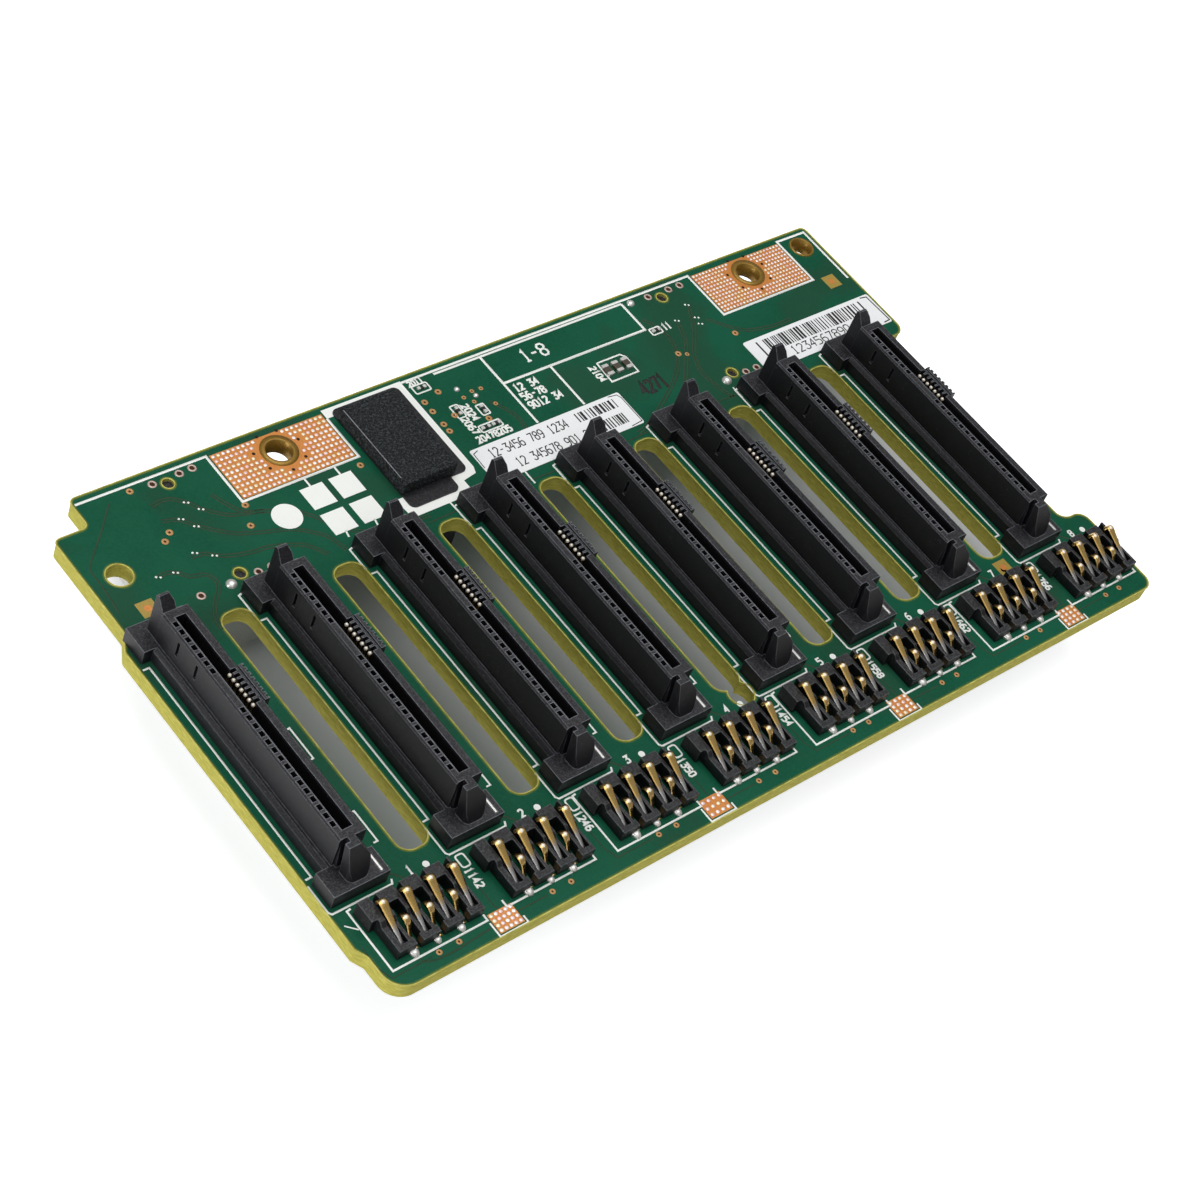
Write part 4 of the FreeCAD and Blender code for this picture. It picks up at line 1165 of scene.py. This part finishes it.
def second_port_tips():
    # Painted highlight: the tips are near white to stand for their glint.
    tip = lathe([(0.0, -0.34), (0.18, -0.26), (0.27, 0.0), (0.22, 0.14), (0.12, 0.22), (0.0, 0.25)],
                12)
    return scatter([(4.14, y, 6.34) for y in SECOND], tip, HIGHLIGHT_TIPS)


def socket_body():
    """The moulding, with the thin lip that closes the pockets' mouths along the slot."""
    lip = flat_shape([box_loop(2.58, 2.74, -32.95, 0.85)], 6.72, 7.08)
    return joined([softened("drive_socket_1", 0.09), lip])


def dress_sockets():
    per_bay((socket_body(), "drive_socket_body", SOCKET_PLASTIC, "socket_plastic", "drive_socket"))
    per_bay((socket_contacts(), "socket_contact_rows", GOLD, "gold", "socket_contacts"))
    per_bay((second_port_tips(), "second_port_tips", HIGHLIGHT_TIPS, "gold"))
    settle("solder_tabs", softened("socket_hold_downs", 0.05), TIN, "tin", "socket_hold_downs")


# ---- combs ----
SPRINGS = [3.4 + 3.43 * i for i in range(4)]
CURLS = [x + 1.72 for x in SPRINGS[:-1]]
SOLDER_SIZES = (1.15, 0.95, 1.05)


def tall_springs():
    tall = formed_strip(
        [(-46.0, 0.05), (-46.0, 0.75), (-45.75, 1.05), (-43.9, 1.95), (-42.2, 2.85), (-41.6, 3.2),
         (-41.2, 3.3), (-40.85, 3.1), (-40.7, 2.75), (-40.85, 2.4)],
        (0.6, 0.6, 0.54, 0.66, 0.98, 1.08, 1.1, 1.06, 0.95, 0.7), 0.18)
    return scatter([(x, 0.0, 0.0) for x in SPRINGS], tall, SPRING)


def curled_contacts():
    curl = formed_strip(
        [(-46.9, 0.12), (-46.1, 0.14), (-45.3, 0.45), (-44.8, 1.2), (-44.35, 1.95), (-43.85, 2.28),
         (-43.35, 2.1), (-42.95, 1.6), (-42.8, 1.1)],
        (0.5, 0.5, 0.54, 0.66, 0.82, 0.88, 0.84, 0.66, 0.4), 0.17)
    return scatter([(x, 0.0, 0.0) for x in CURLS], curl, GOLD)


def dimple_highlights():
    # Painted highlight: each dimple is a near-white dot that stands for the glint on the contact.
    dimple = lathe([(0.30, -0.08), (0.29, 0.04), (0.24, 0.15), (0.12, 0.22), (0.0, 0.24)], 14)
    spots = [(x, -41.3, 3.32) for x in SPRINGS] + [(x, -43.8, 2.3) for x in CURLS]
    return scatter(spots, dimple, HIGHLIGHT_TIPS)


def solder_feet():
    wedge = dot_piece(0.5, 0.5, 2.4, 14)
    wedge.data.transform(Matrix.Diagonal((1.05, 1.75, 1.0, 1.0)))
    spots = [(x - 0.68, -46.85, 0.0, size) for x, size in zip(CURLS, SOLDER_SIZES)]
    return scatter(spots, wedge, TIN)


def dress_combs():
    per_bay((softened("spring_block_1", 0.07), "comb_body", BLOCK_PLASTIC, "block_plastic",
             "spring_block"))
    per_bay((tall_springs(), "comb_springs", SPRING, "gold", "block_springs"),
            (curled_contacts(), "comb_curls", GOLD, "gold"),
            (dimple_highlights(), "comb_contact_dimples", HIGHLIGHT_TIPS, "gold"),
            (solder_feet(), "comb_solder", TIN, "tin"))


# ---- everything else keeps its CAD shape ----
KEPT = {
    "power_header": HEADER_PLASTIC, "power_header_pins": TIN, "bay_controller": CHIP_PLASTIC,
    "crystal": NICKEL, "inductor": CHIP_PLASTIC, "capacitors": CAPACITOR, "rear_chips": CERAMIC,
    "front_chips": DARK_CERAMIC, "host_shell_1": NICKEL, "host_shell_2": NICKEL,
    "host_insert_1": SOCKET_PLASTIC, "host_insert_2": SOCKET_PLASTIC, "host_contacts_1": GOLD,
    "host_contacts_2": GOLD,
}


def dress_kept():
    for node, material in KEPT.items():
        painted(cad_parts[node].data, material)


# ---- stage and light ----
FLOOR_REACH = 3.0
FLOOR_GAP = 0.0002           # below the part's lowest point, in metres


def make_stage():
    """A pale floor that shows white beside the part, with painted shade below it: a darker colour
    and no added white glow there.
    """
    low, high = CAD_BOX
    z = low[2] - FLOOR_GAP
    mesh = bpy.data.meshes.new("floor")
    mesh.from_pydata([(x * FLOOR_REACH, y * FLOOR_REACH, z)
                      for x, y in ((-1, -1), (1, -1), (1, 1), (-1, 1))], [], [(0, 1, 2, 3)])
    floor = working(mesh, "floor")
    material, w, into = surface("pale_floor_painted_shade", rough=0.9, specular=0.1)
    x, y, _ = w.parts(w.place())
    # Mask of the floor outside the part's footprint; under the part, shade is painted.
    near = w.math("MAXIMUM", w.ramp(x, low[0] + 0.012, low[0] + 0.022, 1.0, 0.0),
                  w.ramp(x, high[0] + 0.002, high[0] + 0.012))
    near = w.math("MAXIMUM", near, w.ramp(y, low[1] + 0.008, low[1] + 0.018, 1.0, 0.0))
    outside_painted_shade = w.math("MAXIMUM", near, w.ramp(y, high[1] - 0.006, high[1] + 0.004))
    # Painted shade: under the part the floor's colour drops from 0.88 to 0.74, and the glow is left
    # out there.
    w.join(w.mix(outside_painted_shade, rgb(0.74, 0.74, 0.74), rgb(0.88, 0.88, 0.88)), into["Base Color"])
    path = w.put("ShaderNodeLightPath").outputs
    shown = w.math("MAXIMUM", path["Is Camera Ray"], path["Is Glossy Ray"])
    into["Emission Color"].default_value = rgb(1.0, 1.0, 1.0)
    w.join(w.math("MULTIPLY", w.math("MULTIPLY", shown, outside_painted_shade), 0.70), into["Emission Strength"])
    painted(mesh, material)


def lamp(name, place, size, power):
    light = bpy.data.lights.new(name, "AREA")
    light.shape = "DISK"
    light.size = size
    light.energy = power
    spot = Vector(place)
    aim = (Vector(CAD_BOX[0]) + Vector(CAD_BOX[1])) / 2 - spot
    turn = aim.to_track_quat("-Z", "Y").to_matrix().to_4x4()
    working(light, name).matrix_world = Matrix.Translation(spot) @ turn


def make_light():
    lamp("top", (0.06, 0.08, 0.95), 1.0, 6.6)
    lamp("left", (-0.88, 0.02, 0.15), 0.4, 3.0)
    lamp("fill", (-0.46, -0.50, 0.60), 1.1, 1.6)
    world = bpy.data.worlds.new("room")
    world.use_nodes = True
    bpy.context.scene.world = world
    back = world.node_tree.nodes["Background"]
    back.inputs["Color"].default_value = rgb(1.0, 1.0, 1.0)
    back.inputs["Strength"].default_value = 0.26


# ---- make it ----
aim_camera()
dress_board()
dress_pads()
dress_fiducials()
dress_vias()
dress_tracks()
dress_small_parts()
dress_rear_print()
dress_print()
dress_labels()
dress_foam()
dress_sockets()
dress_combs()
dress_kept()
make_stage()
make_light()
bpy.context.scene.view_settings.view_transform = "Standard"
